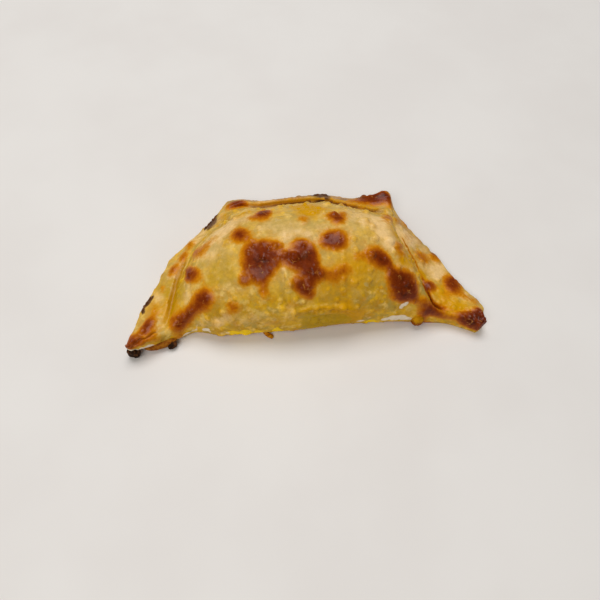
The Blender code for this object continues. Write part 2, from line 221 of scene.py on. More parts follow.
# ---------------------------------------------------------------- what was seen on the crust
# Each mark: share of the way from tip to tip, share of the way over the top from the front foot to the hem's
# under-edge, half length and half width in mm, turn in degrees from the tip-to-tip direction, strength.
# browned blisters
BROWN = [
    (0.4105, 0.582, 5, 2.9, -85, 0.9), (0.389, 0.5556, 3.5, 2.1, -35, 0.36), (0.4224, 0.5979, 3.8, 1.9, -86, 0.5),
    (0.4916, 0.5185, 3.4, 2.5, -86, 0.34), (0.5609, 0.5132, 4.5, 3.4, -52, 0.78), (0.5776, 0.545, 3.3, 1.9, 77, 0.35),
    (0.3532, 0.4815, 5.3, 3.9, -62, 0.64), (0.3556, 0.4709, 2.7, 2, -70, 0.5), (0.389, 0.381, 7.6, 6.4, -13, 0.74),
    (0.3723, 0.3968, 4.1, 3.7, -64, 0.3), (0.4033, 0.4074, 5.2, 3.7, -6, 0.45), (0.3866, 0.3386, 5.1, 4.9, -73, 0.78),
    (0.3795, 0.3016, 4.4, 3.2, -8, 0.7), (0.3652, 0.3386, 3.8, 3.2, -17, 0.55), (0.4057, 0.328, 3.2, 2.8, -87, 0.45),
    (0.3842, 0.2646, 2.8, 1.4, 79, 0.3), (0.4177, 0.3598, 3.3, 2.3, 88, 0.45), (0.3962, 0.3651, 4.2, 2.3, -86, 0.4),
    (0.4296, 0.4127, 2.5, 1.5, -9, 0.45), (0.358, 0.3545, 3.3, 2.8, 86, 0.3), (0.3437, 0.3069, 3, 2.8, -25, 0.62),
    (0.4415, 0.3704, 5, 2.4, -12, 0.68), (0.4582, 0.3545, 4.1, 2.3, -6, 0.5), (0.4821, 0.3704, 5.5, 5, -4, 0.8),
    (0.4893, 0.3439, 4.6, 4.1, -4, 0.75), (0.4654, 0.3333, 4.1, 2.7, -26, 0.5), (0.506, 0.3333, 3.2, 2.3, 81, 0.5),
    (0.4797, 0.4074, 4.2, 2.3, 2, 0.5), (0.5036, 0.3598, 5.6, 1.8, 81, 0.55), (0.4964, 0.3069, 3.7, 3.2, -9, 0.8),
    (0.5131, 0.2963, 3.3, 2.8, -10, 0.5), (0.4702, 0.2698, 3.3, 3, 89, 0.88), (0.4869, 0.254, 3.5, 3.3, -30, 0.72),
    (0.494, 0.2275, 2.8, 2.3, -15, 0.6), (0.5036, 0.2751, 2.8, 2.5, -88, 0.6), (0.5274, 0.2963, 4.2, 2.3, -15, 0.42),
    (0.58, 0.3069, 3.3, 2.5, 10, 0.46), (0.5561, 0.2804, 3, 2.8, -9, 0.36), (0.5728, 0.291, 5.6, 3.7, 0, 0.14),
    (0.5561, 0.4127, 5.8, 4.5, 10, 0.66), (0.5537, 0.3968, 5.6, 2.3, 4, 0.75), (0.537, 0.4127, 2.6, 2.3, 66, 0.3),
    (0.5704, 0.4233, 2.9, 2.6, 33, 0.25), (0.6158, 0.3545, 2.6, 1.9, 2, 0.4), (0.6635, 0.3386, 5.6, 4, -43, 0.85),
    (0.673, 0.328, 3, 2.2, -21, 0.5), (0.6874, 0.328, 2.4, 1.7, 7, 0.4), (0.6539, 0.3545, 2.6, 2.1, -1, 0.45),
    (0.7017, 0.3175, 2.2, 1.3, -13, 0.5), (0.7279, 0.291, 4.9, 4.2, -29, 0.85), (0.7566, 0.2751, 7, 5.1, -31, 0.8),
    (0.7494, 0.2381, 5.9, 4, 4, 0.7), (0.778, 0.2646, 5.3, 2.5, -39, 0.6), (0.7589, 0.3333, 3.6, 2.6, 18, 0.35),
    (0.7088, 0.2857, 3.4, 2, -57, 0.4), (0.7184, 0.4497, 4.8, 1.5, 63, 0.5), (0.7232, 0.4074, 3.2, 1.7, 57, 0.4),
    (0.2172, 0.4868, 7.4, 2.9, -50, 0.72), (0.2172, 0.5397, 9, 1.5, -54, 0.4), (0.21, 0.455, 5.4, 1.4, -49, 0.35),
    (0.222, 0.2963, 6.3, 4.3, 25, 0.74), (0.2363, 0.3069, 3.1, 2.4, -10, 0.35), (0.1504, 0.2222, 5.4, 3.9, 13, 0.74),
    (0.136, 0.2011, 2.9, 2.6, 30, 0.4), (0.1838, 0.2487, 3.9, 2.4, 22, 0.6), (0.0692, 0.5026, 4, 2.6, 18, 0.66),
    (0.0979, 0.5873, 3.5, 2.2, 35, 0.22), (0.0979, 0.7407, 2.7, 1.9, 12, 0.12), (0.0597, 0.3069, 4, 2.7, 72, 0.36),
    (0.0263, 0.455, 3.9, 2.1, -6, 0.42), (0.0072, 0.5079, 2.1, 2, 36, 0.42), (0.0095, 0.6984, 4.5, 2, 47, 0.3),
    (0.0286, 0.2963, 4, 1, -14, 0.4), (0.0501, 0.455, 2.8, 2, 15, 0.22), (0.0239, 0.6349, 3.3, 1.8, 58, 0.12),
    (0.2983, 0.2222, 3.5, 3.2, 31, 0.42), (0.3819, 0.2593, 2.9, 2.7, 57, 0.24), (0.3866, 0.2381, 2.3, 2, 4, 0.2),
    (0.3484, 0.2328, 2, 1.8, 56, 0.14), (0.3747, 0.1958, 2.3, 2.1, 2, 0.14), (0.1265, 0.0688, 2.9, 2.4, -77, 0.3),
    (0.074, 0.164, 2.4, 2, -31, 0.28), (0.1384, 0.7354, 2.3, 1.7, 63, 0.28), (0.1838, 0.7778, 3.7, 2.4, 13, 0.5),
    (0.2148, 0.8254, 3.6, 2.5, 24, 0.42), (0.2387, 0.873, 3.1, 2.6, -86, 0.36), (0.2458, 0.6296, 8, 2.9, -73, 0.42),
    (0.2697, 0.5926, 4, 2.8, -64, 0.28), (0.2912, 0.5926, 3.7, 2.9, -74, 0.14), (0.3699, 0.8571, 4.9, 2.5, -7, 0.6),
    (0.358, 0.8519, 2.8, 1.7, 7, 0.3), (0.3842, 0.8571, 2.7, 1.4, -5, 0.3), (0.3723, 0.873, 5, 2.8, -39, 0.4),
    (0.6205, 0.8942, 6.6, 3.1, 43, 0.35), (0.6348, 0.9048, 4.6, 3.5, -41, 0.5), (0.6062, 0.8783, 4.8, 1.9, 56, 0.2),
    (0.6539, 0.8783, 5, 2.8, -30, 0.85), (0.6706, 0.8677, 3.4, 3, -16, 0.8), (0.6635, 0.8783, 4.5, 1.8, -31, 0.5),
    (0.6826, 0.8466, 3.4, 2.2, -34, 0.55), (0.6921, 0.8413, 2.9, 1.7, -62, 0.15), (0.6539, 0.8519, 5, 1.9, -30, 0.4),
    (0.6348, 0.8783, 5.3, 3.7, 6, 0.42), (0.6635, 0.8466, 4.5, 2.2, -16, 0.4), (0.6802, 0.582, 9.7, 3, 89, 0.34),
    (0.7136, 0.8095, 3.9, 1.8, -86, 0.25), (0.7971, 0.7249, 6.4, 3.9, 56, 0.3), (0.8067, 0.7143, 4.5, 2.7, 52, 0.2),
    (0.8329, 0.8466, 4, 2.2, -84, 0.42), (0.8449, 0.8254, 2.7, 1.5, -73, 0.3), (0.8329, 0.5079, 3.4, 2.7, 14, 0.85),
    (0.895, 0.6984, 6.6, 4.7, -54, 0.78), (0.8854, 0.455, 3.4, 2.5, 80, 0.2), (0.9666, 0.3228, 5.2, 3.6, 32, 0.9),
    (0.9737, 0.4921, 4, 2.7, -36, 0.75), (0.9881, 0.4815, 3.5, 2, -35, 0.6), (0.9857, 0.2487, 3.4, 2.7, 8, 0.5),
    (0.9905, 0.4339, 4.4, 1.6, -23, 0.5), (0.9785, 0.381, 3.4, 2.5, -50, 0.6), (0.9547, 0.2381, 2.4, 2.2, 32, 0.4),
    (0.9332, 0.6296, 3.6, 2.5, -15, 0.22), (0.9499, 0.6984, 3.1, 2.4, -63, 0.2), (0.8473, 0.1852, 5.2, 2.9, -15, 0.85),
    (0.8854, 0.1693, 5.7, 2.3, 3, 0.5), (0.8258, 0.2328, 3.7, 2, -35, 0.4), (0.8282, 0.1534, 4.5, 2.7, -37, 0.45),
    (0.8019, 0.2222, 3.9, 1.8, -10, 0.35), (0.9284, 0.2169, 3.9, 2.2, 22, 0.3), (0.8329, 0, 7.9, 2.6, -75, 0.6),
    (0.7566, 0.7672, 8, 2.9, 85, 0.14), (0.7494, 0.9206, 6.4, 1.9, -76, 0.3)
]
# burnt edges and spots
CHAR = [
    (0.3031, 0.8942, 8.2, 2.8, 41, 0.7), (0.0955, 0.7884, 4.8, 1.2, 2, 0.8), (0.074, 0.7831, 2.7, 1.2, 34, 0.7),
    (0.5418, 0.8836, 6.6, 4.1, -65, 0.75), (0.4988, 0.8836, 6.8, 3.7, -9, 0.35), (0.4582, 0.8836, 6.7, 3.9, -1, 0.25),
    (0.5919, 0.8889, 5.8, 3, 43, 0.45), (0.3652, 0.9101, 4.7, 4.5, 75, 0.4), (0.6253, 0.9259, 4.9, 3.4, 19, 0.45),
    (0.9069, 0.7989, 5.4, 2.9, -31, 0.3), (0.9451, 0.7831, 4.2, 1.4, -9, 0.25), (0.4869, 0.3651, 2.4, 1.8, 80, 0.35),
    (0.4726, 0.2698, 1.6, 1.2, 86, 0.3), (0.7422, 0.8466, 4.7, 2.7, 37, 0.3), (0.8329, 0.873, 3.3, 2.7, -2, 0.45),
    (0.7924, 0.8624, 4.4, 1.1, -3, 0.2), (0.0048, 0.3862, 1.7, 1.1, -84, 0.3)
]
# paler, thinly glazed dough, and painted sheen on the upper parts
CREAM_AND_SHEEN = [
    (0.4606, 0.4815, 11.2, 5.2, -6, 0.55), (0.5418, 0.455, 6.6, 4.2, -1, 0.42), (0.5322, 0.5397, 6.2, 4.5, -47, 0.22),
    (0.4129, 0.5026, 6.7, 4.3, 24, 0.5), (0.4511, 0.4444, 4.2, 3.9, -20, 0.55), (0.4916, 0.4444, 3.4, 3.2, 72, 0.45),
    (0.3532, 0.5873, 11.4, 6.9, -29, 0.55), (0.2864, 0.5926, 9.1, 7.2, -56, 0.5), (0.327, 0.6138, 10.6, 4.7, 82, 0.4),
    (0.2864, 0.5291, 7.9, 4.1, -71, 0.5), (0.2625, 0.5185, 7, 3.6, -63, 0.45), (0.3126, 0.4497, 4.3, 3.2, -78, 0.35),
    (0.1933, 0.4127, 7.3, 4, 80, 0.42), (0.1575, 0.4339, 8.9, 3.3, -75, 0.1), (0.3055, 0.291, 6.1, 2.4, 59, 0.1),
    (0.2745, 0.2698, 4.8, 2.9, 62, 0.15), (0.4415, 0.3016, 6.4, 1.4, -88, 0.22), (0.4511, 0.2751, 1.2, 1, 86, 0.6),
    (0.4368, 0.328, 1.1, 0.8, 84, 0.5), (0.4463, 0.2116, 7.4, 3.2, 87, 0.25), (0.6778, 0.4392, 10, 6.6, -84, 0.62),
    (0.6492, 0.5026, 8.2, 6.5, 28, 0.5), (0.6038, 0.5608, 8.5, 6.4, 53, 0.5), (0.5919, 0.4709, 6.2, 4.6, 69, 0.5),
    (0.5919, 0.4127, 4.2, 3.7, 70, 0.25), (0.7399, 0.3757, 5.9, 4.1, 41, 0.85), (0.7637, 0.3439, 3.6, 2.6, 47, 0.5),
    (0.6921, 0.4127, 4.8, 3.6, -50, 0.5), (0.673, 0.5079, 9.4, 5.8, 65, 0.3), (0.2267, 0.1587, 8.9, 4.2, 16, 0.46),
    (0.3246, 0.1534, 12.2, 5.7, -16, 0.42), (0.4296, 0.1481, 6.6, 5.3, 13, 0.25), (0.5251, 0.2381, 3.8, 3.4, -27, 0.3),
    (0.4964, 0.1905, 3.4, 2.2, -13, 0.3), (0.6253, 0.2116, 5.3, 4.5, -48, 0.22), (0.6897, 0.1799, 6.4, 5.4, -16, 0.15),
    (0.1337, 0.6825, 12.1, 4.6, 23, 0.45), (0.0859, 0.5714, 4.7, 2.4, 12, 0.12), (0.1957, 0.7566, 8.3, 4.7, 34, 0.42),
    (0.2578, 0.8889, 9.3, 7.5, 75, 0.5), (0.3294, 0.8519, 8, 2.2, -21, 0.35), (0.4224, 0.8571, 8.9, 1.4, 3, 0.6),
    (0.6325, 0.8413, 6.9, 1.7, -9, 0.3), (0.7351, 0.7884, 7.5, 4.3, -73, 0.5), (0.7685, 0.7884, 7.9, 4.3, -87, 0.6),
    (0.747, 0.7407, 9.5, 7.7, -47, 0.5), (0.7995, 0.7937, 5.8, 3.2, 89, 0.4), (0.8711, 0.8519, 12.9, 4.3, -77, 0.5),
    (0.8138, 0.6825, 9.3, 7.4, 71, 0.5), (0.79, 0.8413, 6, 4.3, -84, 0.3), (0.8449, 0.6878, 4.9, 3.9, 54, 0.5),
    (0.9141, 0.6296, 6.1, 3.3, -8, 0.45), (0.9379, 0.746, 3.9, 3.1, -38, 0.35), (0.8616, 0.6772, 5.1, 2.1, 52, 0.4),
    (0.0955, 0.2063, 2.8, 2, -32, 0.2), (0.0525, 0.164, 3.7, 1.6, -14, 0.3), (0.1862, 0.328, 3.3, 2.9, 69, 0.15),
    (0.3461, 0.3439, 2.3, 1.4, 63, 0.12), (0.2411, 0.4233, 5, 3.7, -49, 0.15)
]
# thick egg glaze
YELLOW = [
    (0.5107, 0.5556, 6.3, 4.3, -14, 0.75), (0.5036, 0.5926, 8.4, 6, -42, 0.9), (0.506, 0.6243, 7.8, 4.8, -45, 0.5),
    (0.5728, 0.2593, 14.3, 8.7, -2, 0.42), (0.5943, 0.3333, 8.4, 6.5, 3, 0.5), (0.6348, 0.2963, 7.6, 6.8, -82, 0.35),
    (0.5513, 0.1958, 11.6, 5.5, -5, 0.3), (0.5609, 0.0847, 13.5, 6.5, -9, 0.3), (0.4439, 0.1164, 6.7, 4.3, 8, 0.35),
    (0.5036, 0.1693, 5.7, 1.4, 1, 0.8), (0.5704, 0.164, 6.9, 1.2, -7, 0.85), (0.6325, 0.1323, 6.2, 1.8, -32, 0.7),
    (0.6134, 0.1217, 10.8, 6.1, -20, 0.85), (0.6062, 0.1323, 6.6, 3.4, -22, 0.5), (0.1551, 0.4497, 10.8, 6.5, 59, 0.7),
    (0.1337, 0.3968, 14.8, 4.6, -82, 0.4), (0.8998, 0.3704, 7, 5.4, -34, 0.8), (0.6874, 0.4921, 4.8, 3.6, -30, 0.5),
    (0.7112, 0.4815, 4.6, 3.3, 89, 0.5), (0.9356, 0.4074, 3.9, 3.3, 6, 0.6), (0.8687, 0.5132, 6.4, 3.9, 54, 0.75),
    (0.8401, 0.4656, 3, 2.2, -23, 0.7), (0.8234, 0.6296, 4.6, 2.8, 62, 0.3), (0.8091, 0.5714, 5.8, 1.9, -43, 0.85),
    (0.7613, 0.4603, 13.2, 4.9, 52, 0.8), (0.7327, 0.4762, 6.1, 2.9, 62, 0.55), (0.3795, 0.6243, 7.1, 4.2, 17, 0.55),
    (0.3389, 0.7672, 9.7, 2.6, 74, 0.5), (0.2578, 0.4868, 6.9, 4, -57, 0.28), (0.3103, 0.4233, 4.8, 2.9, -44, 0.3),
    (0.2649, 0.3492, 5.6, 4.6, 69, 0.35), (0.3365, 0.2698, 4.2, 3.7, -18, 0.3), (0.3914, 0.2169, 5.6, 5.1, 13, 0.3),
    (0.2076, 0.2328, 4.6, 2.4, 23, 0.25), (0.7184, 0.3651, 2.8, 2, 31, 0.45), (0.6181, 0.3333, 4.3, 3.7, 0, 0.3),
    (0.642, 0.4127, 3.4, 2.8, 40, 0.25), (0.79, 0.1323, 6, 4.3, -23, 0.45), (0.5179, 0.3757, 4.8, 1.8, 80, 0.2),
    (0.5895, 0.4603, 3.2, 2.4, 77, 0.3), (0.4893, 0.4656, 1.9, 1.4, 80, 0.4), (0.4558, 0.4497, 1.5, 1.4, -88, 0.3),
    (0.2578, 0.1058, 3, 2.4, 17, 0.2), (0.0931, 0.3704, 3.8, 2.9, 1, 0.25), (0.0859, 0.6508, 5, 3, 19, 0.4),
    (0.0644, 0.1164, 5.8, 2.4, -16, 0.4), (0.9045, 0.2222, 6, 1.6, 16, 0.3), (0.6754, 0.2646, 6.8, 4, -78, 0.3)
]
# dull greenish mottles, and painted sheen on the upper parts
GREY_AND_SHEEN = [
    (0.4821, 0.4868, 11.3, 6.1, -11, 0.45), (0.42, 0.4868, 6.2, 5.2, -23, 0.4), (0.5465, 0.4815, 5.5, 4.7, 68, 0.35),
    (0.6038, 0.4762, 6.3, 5.6, 65, 0.35), (0.253, 0.4656, 5.9, 3.9, -56, 0.35), (0.2983, 0.4392, 5.7, 3.9, -51, 0.35),
    (0.222, 0.3704, 3.8, 2.9, 80, 0.3), (0.3819, 0.5291, 5, 4.8, -83, 0.3), (0.2888, 0.5238, 6.1, 3.1, -68, 0.5),
    (0.2601, 0.4815, 5.9, 2.6, -48, 0.35), (0.3484, 0.418, 2.6, 2, -54, 0.25), (0.3675, 0.3016, 2.3, 1.4, -9, 0.1),
    (0.2578, 0.3968, 5.5, 2.3, -47, 0.22), (0.2912, 0.4021, 4.2, 2.8, -41, 0.35), (0.2721, 0.545, 5.8, 3.1, -59, 0.3),
    (0.4391, 0.5238, 4.4, 3.2, -23, 0.35), (0.2888, 0.3333, 2.3, 2, 64, 0.3), (0.4678, 0.5026, 3.8, 3.6, -40, 0.25),
    (0.5084, 0.4815, 3.3, 2.7, -6, 0.3), (0.5298, 0.3598, 2.8, 2.4, -2, 0.4), (0.4797, 0.2011, 2.8, 2.1, -13, 0.35),
    (0.6539, 0.2751, 4.4, 3.9, -77, 0.28), (0.642, 0.2487, 1.3, 0.8, -42, 1), (0.284, 0.3492, 1, 0.8, 67, 0.8),
    (0.6181, 0.2063, 3.6, 3.1, -40, 0.25), (0.3699, 0.1429, 4.2, 4, -3, 0.2), (0.4344, 0.2434, 3.4, 2.3, 86, 0.28),
    (0.3413, 0.455, 3, 2, 75, 0.2), (0.5967, 0.4974, 4.4, 3.5, 45, 0.25), (0.432, 0.5291, 4.4, 3.7, -70, 0.2),
    (0.5585, 0.1429, 7.1, 3.3, -12, 0.25), (0.1265, 0.545, 3.3, 1.7, 36, 0.25), (0.1695, 0.4074, 5.2, 3.1, 65, 0.3)
]
# bare, floury dough
PALE = [
    (0.21, 0.0899, 1.9, 1.2, 25, 0.9), (0.2196, 0.0741, 1.2, 0.8, 88, 0.5), (0.1838, 0.1111, 2.5, 0.6, 67, 0.4),
    (0.1718, 0.0741, 1.9, 0.9, 21, 0.4), (0.1527, 0.0529, 2, 1.1, 5, 0.7), (0.1313, 0.037, 2.2, 1, 8, 0.45),
    (0.105, 0.0159, 2.6, 1.5, 1, 0.5), (0.074, 0.0053, 2.7, 1.7, -7, 0.55), (0.0477, 0.0159, 2.6, 1.6, -23, 0.7),
    (0.0286, 0.0317, 2.2, 1.1, -18, 0.75), (0.0095, 0.0476, 1.9, 0.9, -36, 0.75), (0, 0.1799, 1.9, 0.4, -73, 0.6),
    (0.7255, 0.0635, 2.3, 1.5, 14, 0.75), (0.7494, 0.0741, 3.2, 2.2, -9, 0.9), (0.7733, 0.0794, 3.2, 1.9, -22, 0.9),
    (0.7947, 0.0688, 2, 1.1, -31, 0.6), (0.7661, 0.1852, 1.9, 1.4, 60, 0.72), (0.7589, 0.164, 1.7, 1.1, -78, 0.62),
    (0.6516, 0.0582, 2.1, 1, 10, 0.7), (0.673, 0.0794, 1.4, 0.9, 48, 0.3), (0.2554, 0.0741, 1.5, 0.7, 4, 0.35),
    (0.2721, 0.0741, 1.2, 0.8, -11, 0.4)
]
# cooked egg wash
EGG = [
    (0.2936, 0.0635, 3.5, 2.3, -29, 0.9), (0.3246, 0.0529, 3.9, 3.1, -58, 1), (0.3556, 0.0529, 3, 2.3, -66, 0.6),
    (0.4105, 0.0476, 4.7, 3, -90, 0.8), (0.685, 0.0423, 3, 2.3, -41, 0.8), (0.6683, 0.0476, 2.4, 1.3, -27, 0.4),
    (0.4415, 0.0476, 3.7, 2.6, -54, 0.3)
]
# darker, greener glaze, and painted shade in the hollow under the front fold and along folds
OLIVE_AND_SHADE = [
    (0.5227, 0.0952, 8.4, 5.3, -47, 0.85), (0.5704, 0.0952, 7.1, 5.7, -37, 0.85), (0.4964, 0.0794, 4.6, 3.3, -41, 0.7),
    (0.6014, 0.0794, 4.3, 3.7, -40, 0.6), (0.1718, 0.5661, 14.9, 5.9, -75, 0.7), (0.1408, 0.4921, 5.4, 1.5, 45, 0.7),
    (0.1122, 0.3704, 4, 1.6, 50, 0.4), (0.2912, 0.3862, 7.3, 6.5, 90, 0.55), (0.2506, 0.381, 4.4, 3.7, -41, 0.45),
    (0.3198, 0.3069, 4.6, 2.9, 60, 0.25), (0.315, 0.4497, 4.4, 2.6, -51, 0.3), (0.2458, 0.5185, 4.4, 2.4, -66, 0.25),
    (0.6539, 0.2751, 4.9, 4.4, -75, 0.3), (0.5179, 0.3545, 3.3, 2.3, 80, 0.25), (0.6038, 0.2222, 3.9, 3.1, -16, 0.2),
    (0.389, 0.1852, 4.7, 3.3, 1, 0.2)
]
# dull tan-brown dough
TAN = [
    (0.4272, 0.8836, 9.3, 6.3, -76, 0.6), (0.463, 0.8677, 7.2, 3, -7, 0.8), (0.4964, 0.873, 7.2, 5.4, -9, 0.8),
    (0.5632, 0.8677, 5.6, 3.5, 33, 0.7), (0.5895, 0.8783, 7.2, 4.1, 46, 0.8), (0.6062, 0.8677, 5.3, 3.2, 50, 0.5),
    (0.6348, 0.8677, 5.7, 3.4, -8, 0.85), (0.3675, 0.8519, 5.6, 2.8, -16, 0.5), (0.3962, 0.8201, 8.1, 2.8, -80, 0.15),
    (0.7303, 0.8836, 8.6, 3.9, -70, 0.55), (0.7589, 0.8995, 7.4, 4.2, -65, 0.5), (0.7852, 0.8677, 4.9, 3.5, -37, 0.5),
    (0.8138, 0.8413, 4.5, 2.9, -19, 0.4), (0.8449, 0.7989, 3.9, 2.5, -20, 0.4), (0.8902, 0.8095, 4.6, 2.9, -22, 0.35),
    (0.9523, 0.7302, 3.2, 2.7, -30, 0.5), (0.7232, 0.7884, 6.6, 2.7, -74, 0.3), (0.3031, 0.8889, 7.6, 3.5, 54, 0.5),
    (0.3294, 0.8519, 3.4, 1.4, -22, 0.45), (0.1217, 0.6772, 4.9, 1.6, 19, 0.3), (0.0859, 0.6349, 4.9, 2.4, 15, 0.55),
    (0.2601, 0.5132, 5.3, 2.6, -59, 0.2), (0.58, 0.4603, 3, 2.4, 25, 0.15), (0.6611, 0.8201, 4.5, 1.8, -24, 0.3)
]
# creases and slits, with painted shade in them: name, width mm, depth mm, strength of the painted shade, line of (share
# from tip to tip, share over the top)
VALLEYS = [
    ("back slit left", 1.3, 0.6, 0.28, [(0.2816, 0.8624), (0.3031, 0.8254), (0.327, 0.7989), (0.3461, 0.6455), (0.3675, 0.6243), (0.3842, 0.6349)]),
    ("hem outer line", 0.9, 0.35, 0.25, [(0.3986, 0.7884), (0.4224, 0.8519), (0.4415, 0.8571), (0.4654, 0.8571), (0.4869, 0.8571), (0.506, 0.8571), (0.5274, 0.8519), (0.5537, 0.8466), (0.5776, 0.8519), (0.599, 0.8519)]),
    ("left tear", 0.7, 0.9, 1, [(0.2148, 0.709), (0.21, 0.7037), (0.2029, 0.6825)]),
    ("tip fold", 0.9, 1, 0.72, [(0, 0.3492), (0.0143, 0.3545), (0.0286, 0.3439), (0.043, 0.3069), (0.0573, 0.2963), (0.0692, 0.3122), (0.0835, 0.3016)]),
    ("under fold", 1.5, 0.9, 0.1, [(0.4797, 0.1534), (0.5036, 0.1587), (0.5322, 0.1587), (0.5632, 0.1534), (0.5943, 0.1429), (0.6229, 0.1164)]),
    ("ear line", 0.8, 0.5, 0.4, [(0.6086, 0.6402), (0.6277, 0.6455), (0.6539, 0.8042), (0.6683, 0.7989), (0.6778, 0.8095)]),
]
# folds that stand up: name, width mm, height mm, line
RIDGES = [
    ("right ridge", 1.8, 0.45, [(0.7566, 0.7249), (0.7757, 0.7037), (0.7947, 0.6772), (0.8115, 0.6455)]),
    ("right ridge 2", 1.8, 0.3, [(0.7232, 0.4286), (0.7446, 0.4127), (0.7661, 0.3862), (0.7852, 0.3545), (0.8019, 0.3069)]),
    ("right ridge 3", 1.2, 0.5, [(0.8425, 0.4497), (0.8568, 0.4074), (0.8759, 0.3598), (0.895, 0.3122)]),
    ("front fold", 1.3, 1.1, [(0.3866, 0.1376), (0.4105, 0.1534), (0.4344, 0.1587), (0.463, 0.164), (0.494, 0.1693), (0.5251, 0.1746), (0.5609, 0.1693), (0.5967, 0.164), (0.6301, 0.1429), (0.6659, 0.1164)]),
    ("left wrinkle a", 0.9, 0.45, [(0.2053, 0.5291), (0.1981, 0.4339), (0.1909, 0.3704), (0.179, 0.328)]),
    ("left wrinkle b", 0.8, 0.35, [(0.21, 0.4339), (0.2076, 0.3757), (0.1981, 0.3386)]),
    ("middle wrinkle", 1, 0.45, [(0.4391, 0.3439), (0.4415, 0.3175), (0.4463, 0.2857), (0.4511, 0.2487), (0.4535, 0.2116)]),
    ("shoulder wrinkle", 1, 0.35, [(0.6754, 0.5238), (0.6945, 0.5132), (0.7184, 0.5132)]),
    ("shoulder wrinkle b", 1.2, 0.3, [(0.6396, 0.4656), (0.6587, 0.4233), (0.685, 0.3915), (0.7136, 0.381)]),
]
# burnt slivers standing out of the hem: thickness mm, path in mm
SLIVERS = [
    (0.62, [(-76.7, 25.8, 6.2), (-78.4, 23.4, 6.1), (-80.4, 20.1, 6.3), (-81.8, 16.8, 6.7), (-81.9, 13.8, 7.3)]),
    (0.58, [(-51.1, 62.6, 9.6), (-48.5, 66.3, 9.5), (-46.4, 70.2, 7.9), (-44.3, 73.7, 7.2), (-42.9, 74, 8.5)]),
    (0.5, [(8.9, 79.5, 13.2), (11.6, 80.8, 12.2), (15.1, 81.9, 11.1), (17.7, 80.9, 11.6), (20.1, 79.1, 12.4)]),
]

# browning guessed for the sides that weren't seen: the body's back slope and the hem's outer and under edge
BROWN_UNSEEN = [
    (0.60, 0.735, 5, 3.4, 0, 0.55), (0.67, 0.70, 3.5, 3, 0, 0.5), (0.73, 0.61, 6, 4, 20, 0.62), (0.79, 0.52, 4.5, 3.2, 0, 0.55),
    (0.28, 0.965, 5, 1.6, 0, 0.55), (0.37, 0.965, 6, 1.8, 0, 0.5), (0.47, 0.957, 8, 2, 0, 0.55), (0.56, 0.965, 5, 1.6, 0, 0.5),
    (0.72, 0.96, 7, 2.2, 0, 0.55), (0.80, 0.955, 6, 2, 0, 0.5), (0.86, 0.95, 5, 2, 0, 0.5),
]
# the short slit at the right: (share from tip to tip, mm behind the crease where the body's edge uncovers the hem seen
# from the camera); painted shade is put along it
SLIT_SEEN = [(0.80, 4.8), (0.82, 4.8), (0.84, 3.6), (0.86, 2.2), (0.88, 1.3), (0.92, 0.8)]

# ---------------------------------------------------------------- noise
def hashed(ix, iy, iz, seed):
    h = (ix.astype(np.int64) * 374761393 + iy.astype(np.int64) * 668265263 + iz.astype(np.int64) * 1442695041
         + seed * 974634777) & 0xFFFFFFFF
    h = ((h ^ (h >> 13)) * 1274126177) & 0xFFFFFFFF
    h = ((h ^ (h >> 16)) * 2246822519) & 0xFFFFFFFF
    return (h ^ (h >> 15)) / 4294967295.0


def noise(points, size, seed):
    """Smooth noise from -1 to 1 with features of this size."""
    q = points / size
    cell = np.floor(q)
    f = q - cell
    f = f * f * f * (f * (f * 6 - 15) + 10)
    c = cell.astype(np.int64)
    total = 0
    for dx in (0, 1):
        wx = f[..., 0] if dx else 1 - f[..., 0]
        for dy in (0, 1):
            wy = f[..., 1] if dy else 1 - f[..., 1]
            for dz in (0, 1):
                wz = f[..., 2] if dz else 1 - f[..., 2]
                total = total + wx * wy * wz * hashed(c[..., 0] + dx, c[..., 1] + dy, c[..., 2] + dz, seed)
    return 2 * total - 1


def layered(points, size, seed, octaves=3, fall=0.5):
    return sum(noise(points, size / 2**k, seed + 17 * k) * fall**k for k in range(octaves)) / sum(fall**k for k in range(octaves))


def bubbles(points, size, seed, share, small=0.25, large=0.55):
    """Height in mm of round bubbles, one to a cell of this size in this share of the cells."""
    c = np.floor(points / size).astype(np.int64)
    best = np.zeros(points.shape[:-1])
    for dx in (-1, 0, 1):
        for dy in (-1, 0, 1):
            for dz in (-1, 0, 1):
                k = (c[..., 0] + dx, c[..., 1] + dy, c[..., 2] + dz)
                there = hashed(*k, seed) < share
                radius = size * (small + (large - small) * hashed(*k, seed + 1) ** 2)
                centre = np.stack([k[0] + 0.2 + 0.6 * hashed(*k, seed + 2), k[1] + 0.2 + 0.6 * hashed(*k, seed + 3),
                                   k[2] + 0.2 + 0.6 * hashed(*k, seed + 4)], -1) * size
                t = np.clip(1 - ((points - centre) ** 2).sum(-1) / radius**2, 0, 1)
                best = np.maximum(best, np.where(there, t * t * (3 - 2 * t) * radius, 0))
    return best


# ---------------------------------------------------------------- the crust's surface
STATIONS_FINE, TOP_FINE, UNDER_FINE = 420, 190, 18
rings = dense_rings(STATIONS_FINE, TOP_FINE, UNDER_FINE)
rows = rings.shape[1]
local = rings.copy()


def slopes(grid):
    du = np.gradient(grid, axis=0)
    ahead, behind = np.roll(grid, -1, axis=1), np.roll(grid, 1, axis=1)
    dv = (ahead - behind) / 2
    n = np.cross(du, dv)
    n /= np.linalg.norm(n, axis=2, keepdims=True) + 1e-12
    return du, dv, n


def on_grid(values, s, v):
    a, b = s * (STATIONS_FINE - 1), v * (TOP_FINE - 1)
    i, j = min(int(a), STATIONS_FINE - 2), min(int(b), TOP_FINE - 2)
    a, b = a - i, b - j
    return ((values[i, j] * (1 - a) + values[i + 1, j] * a) * (1 - b) + (values[i, j + 1] * (1 - a) + values[i + 1, j + 1] * a) * b)


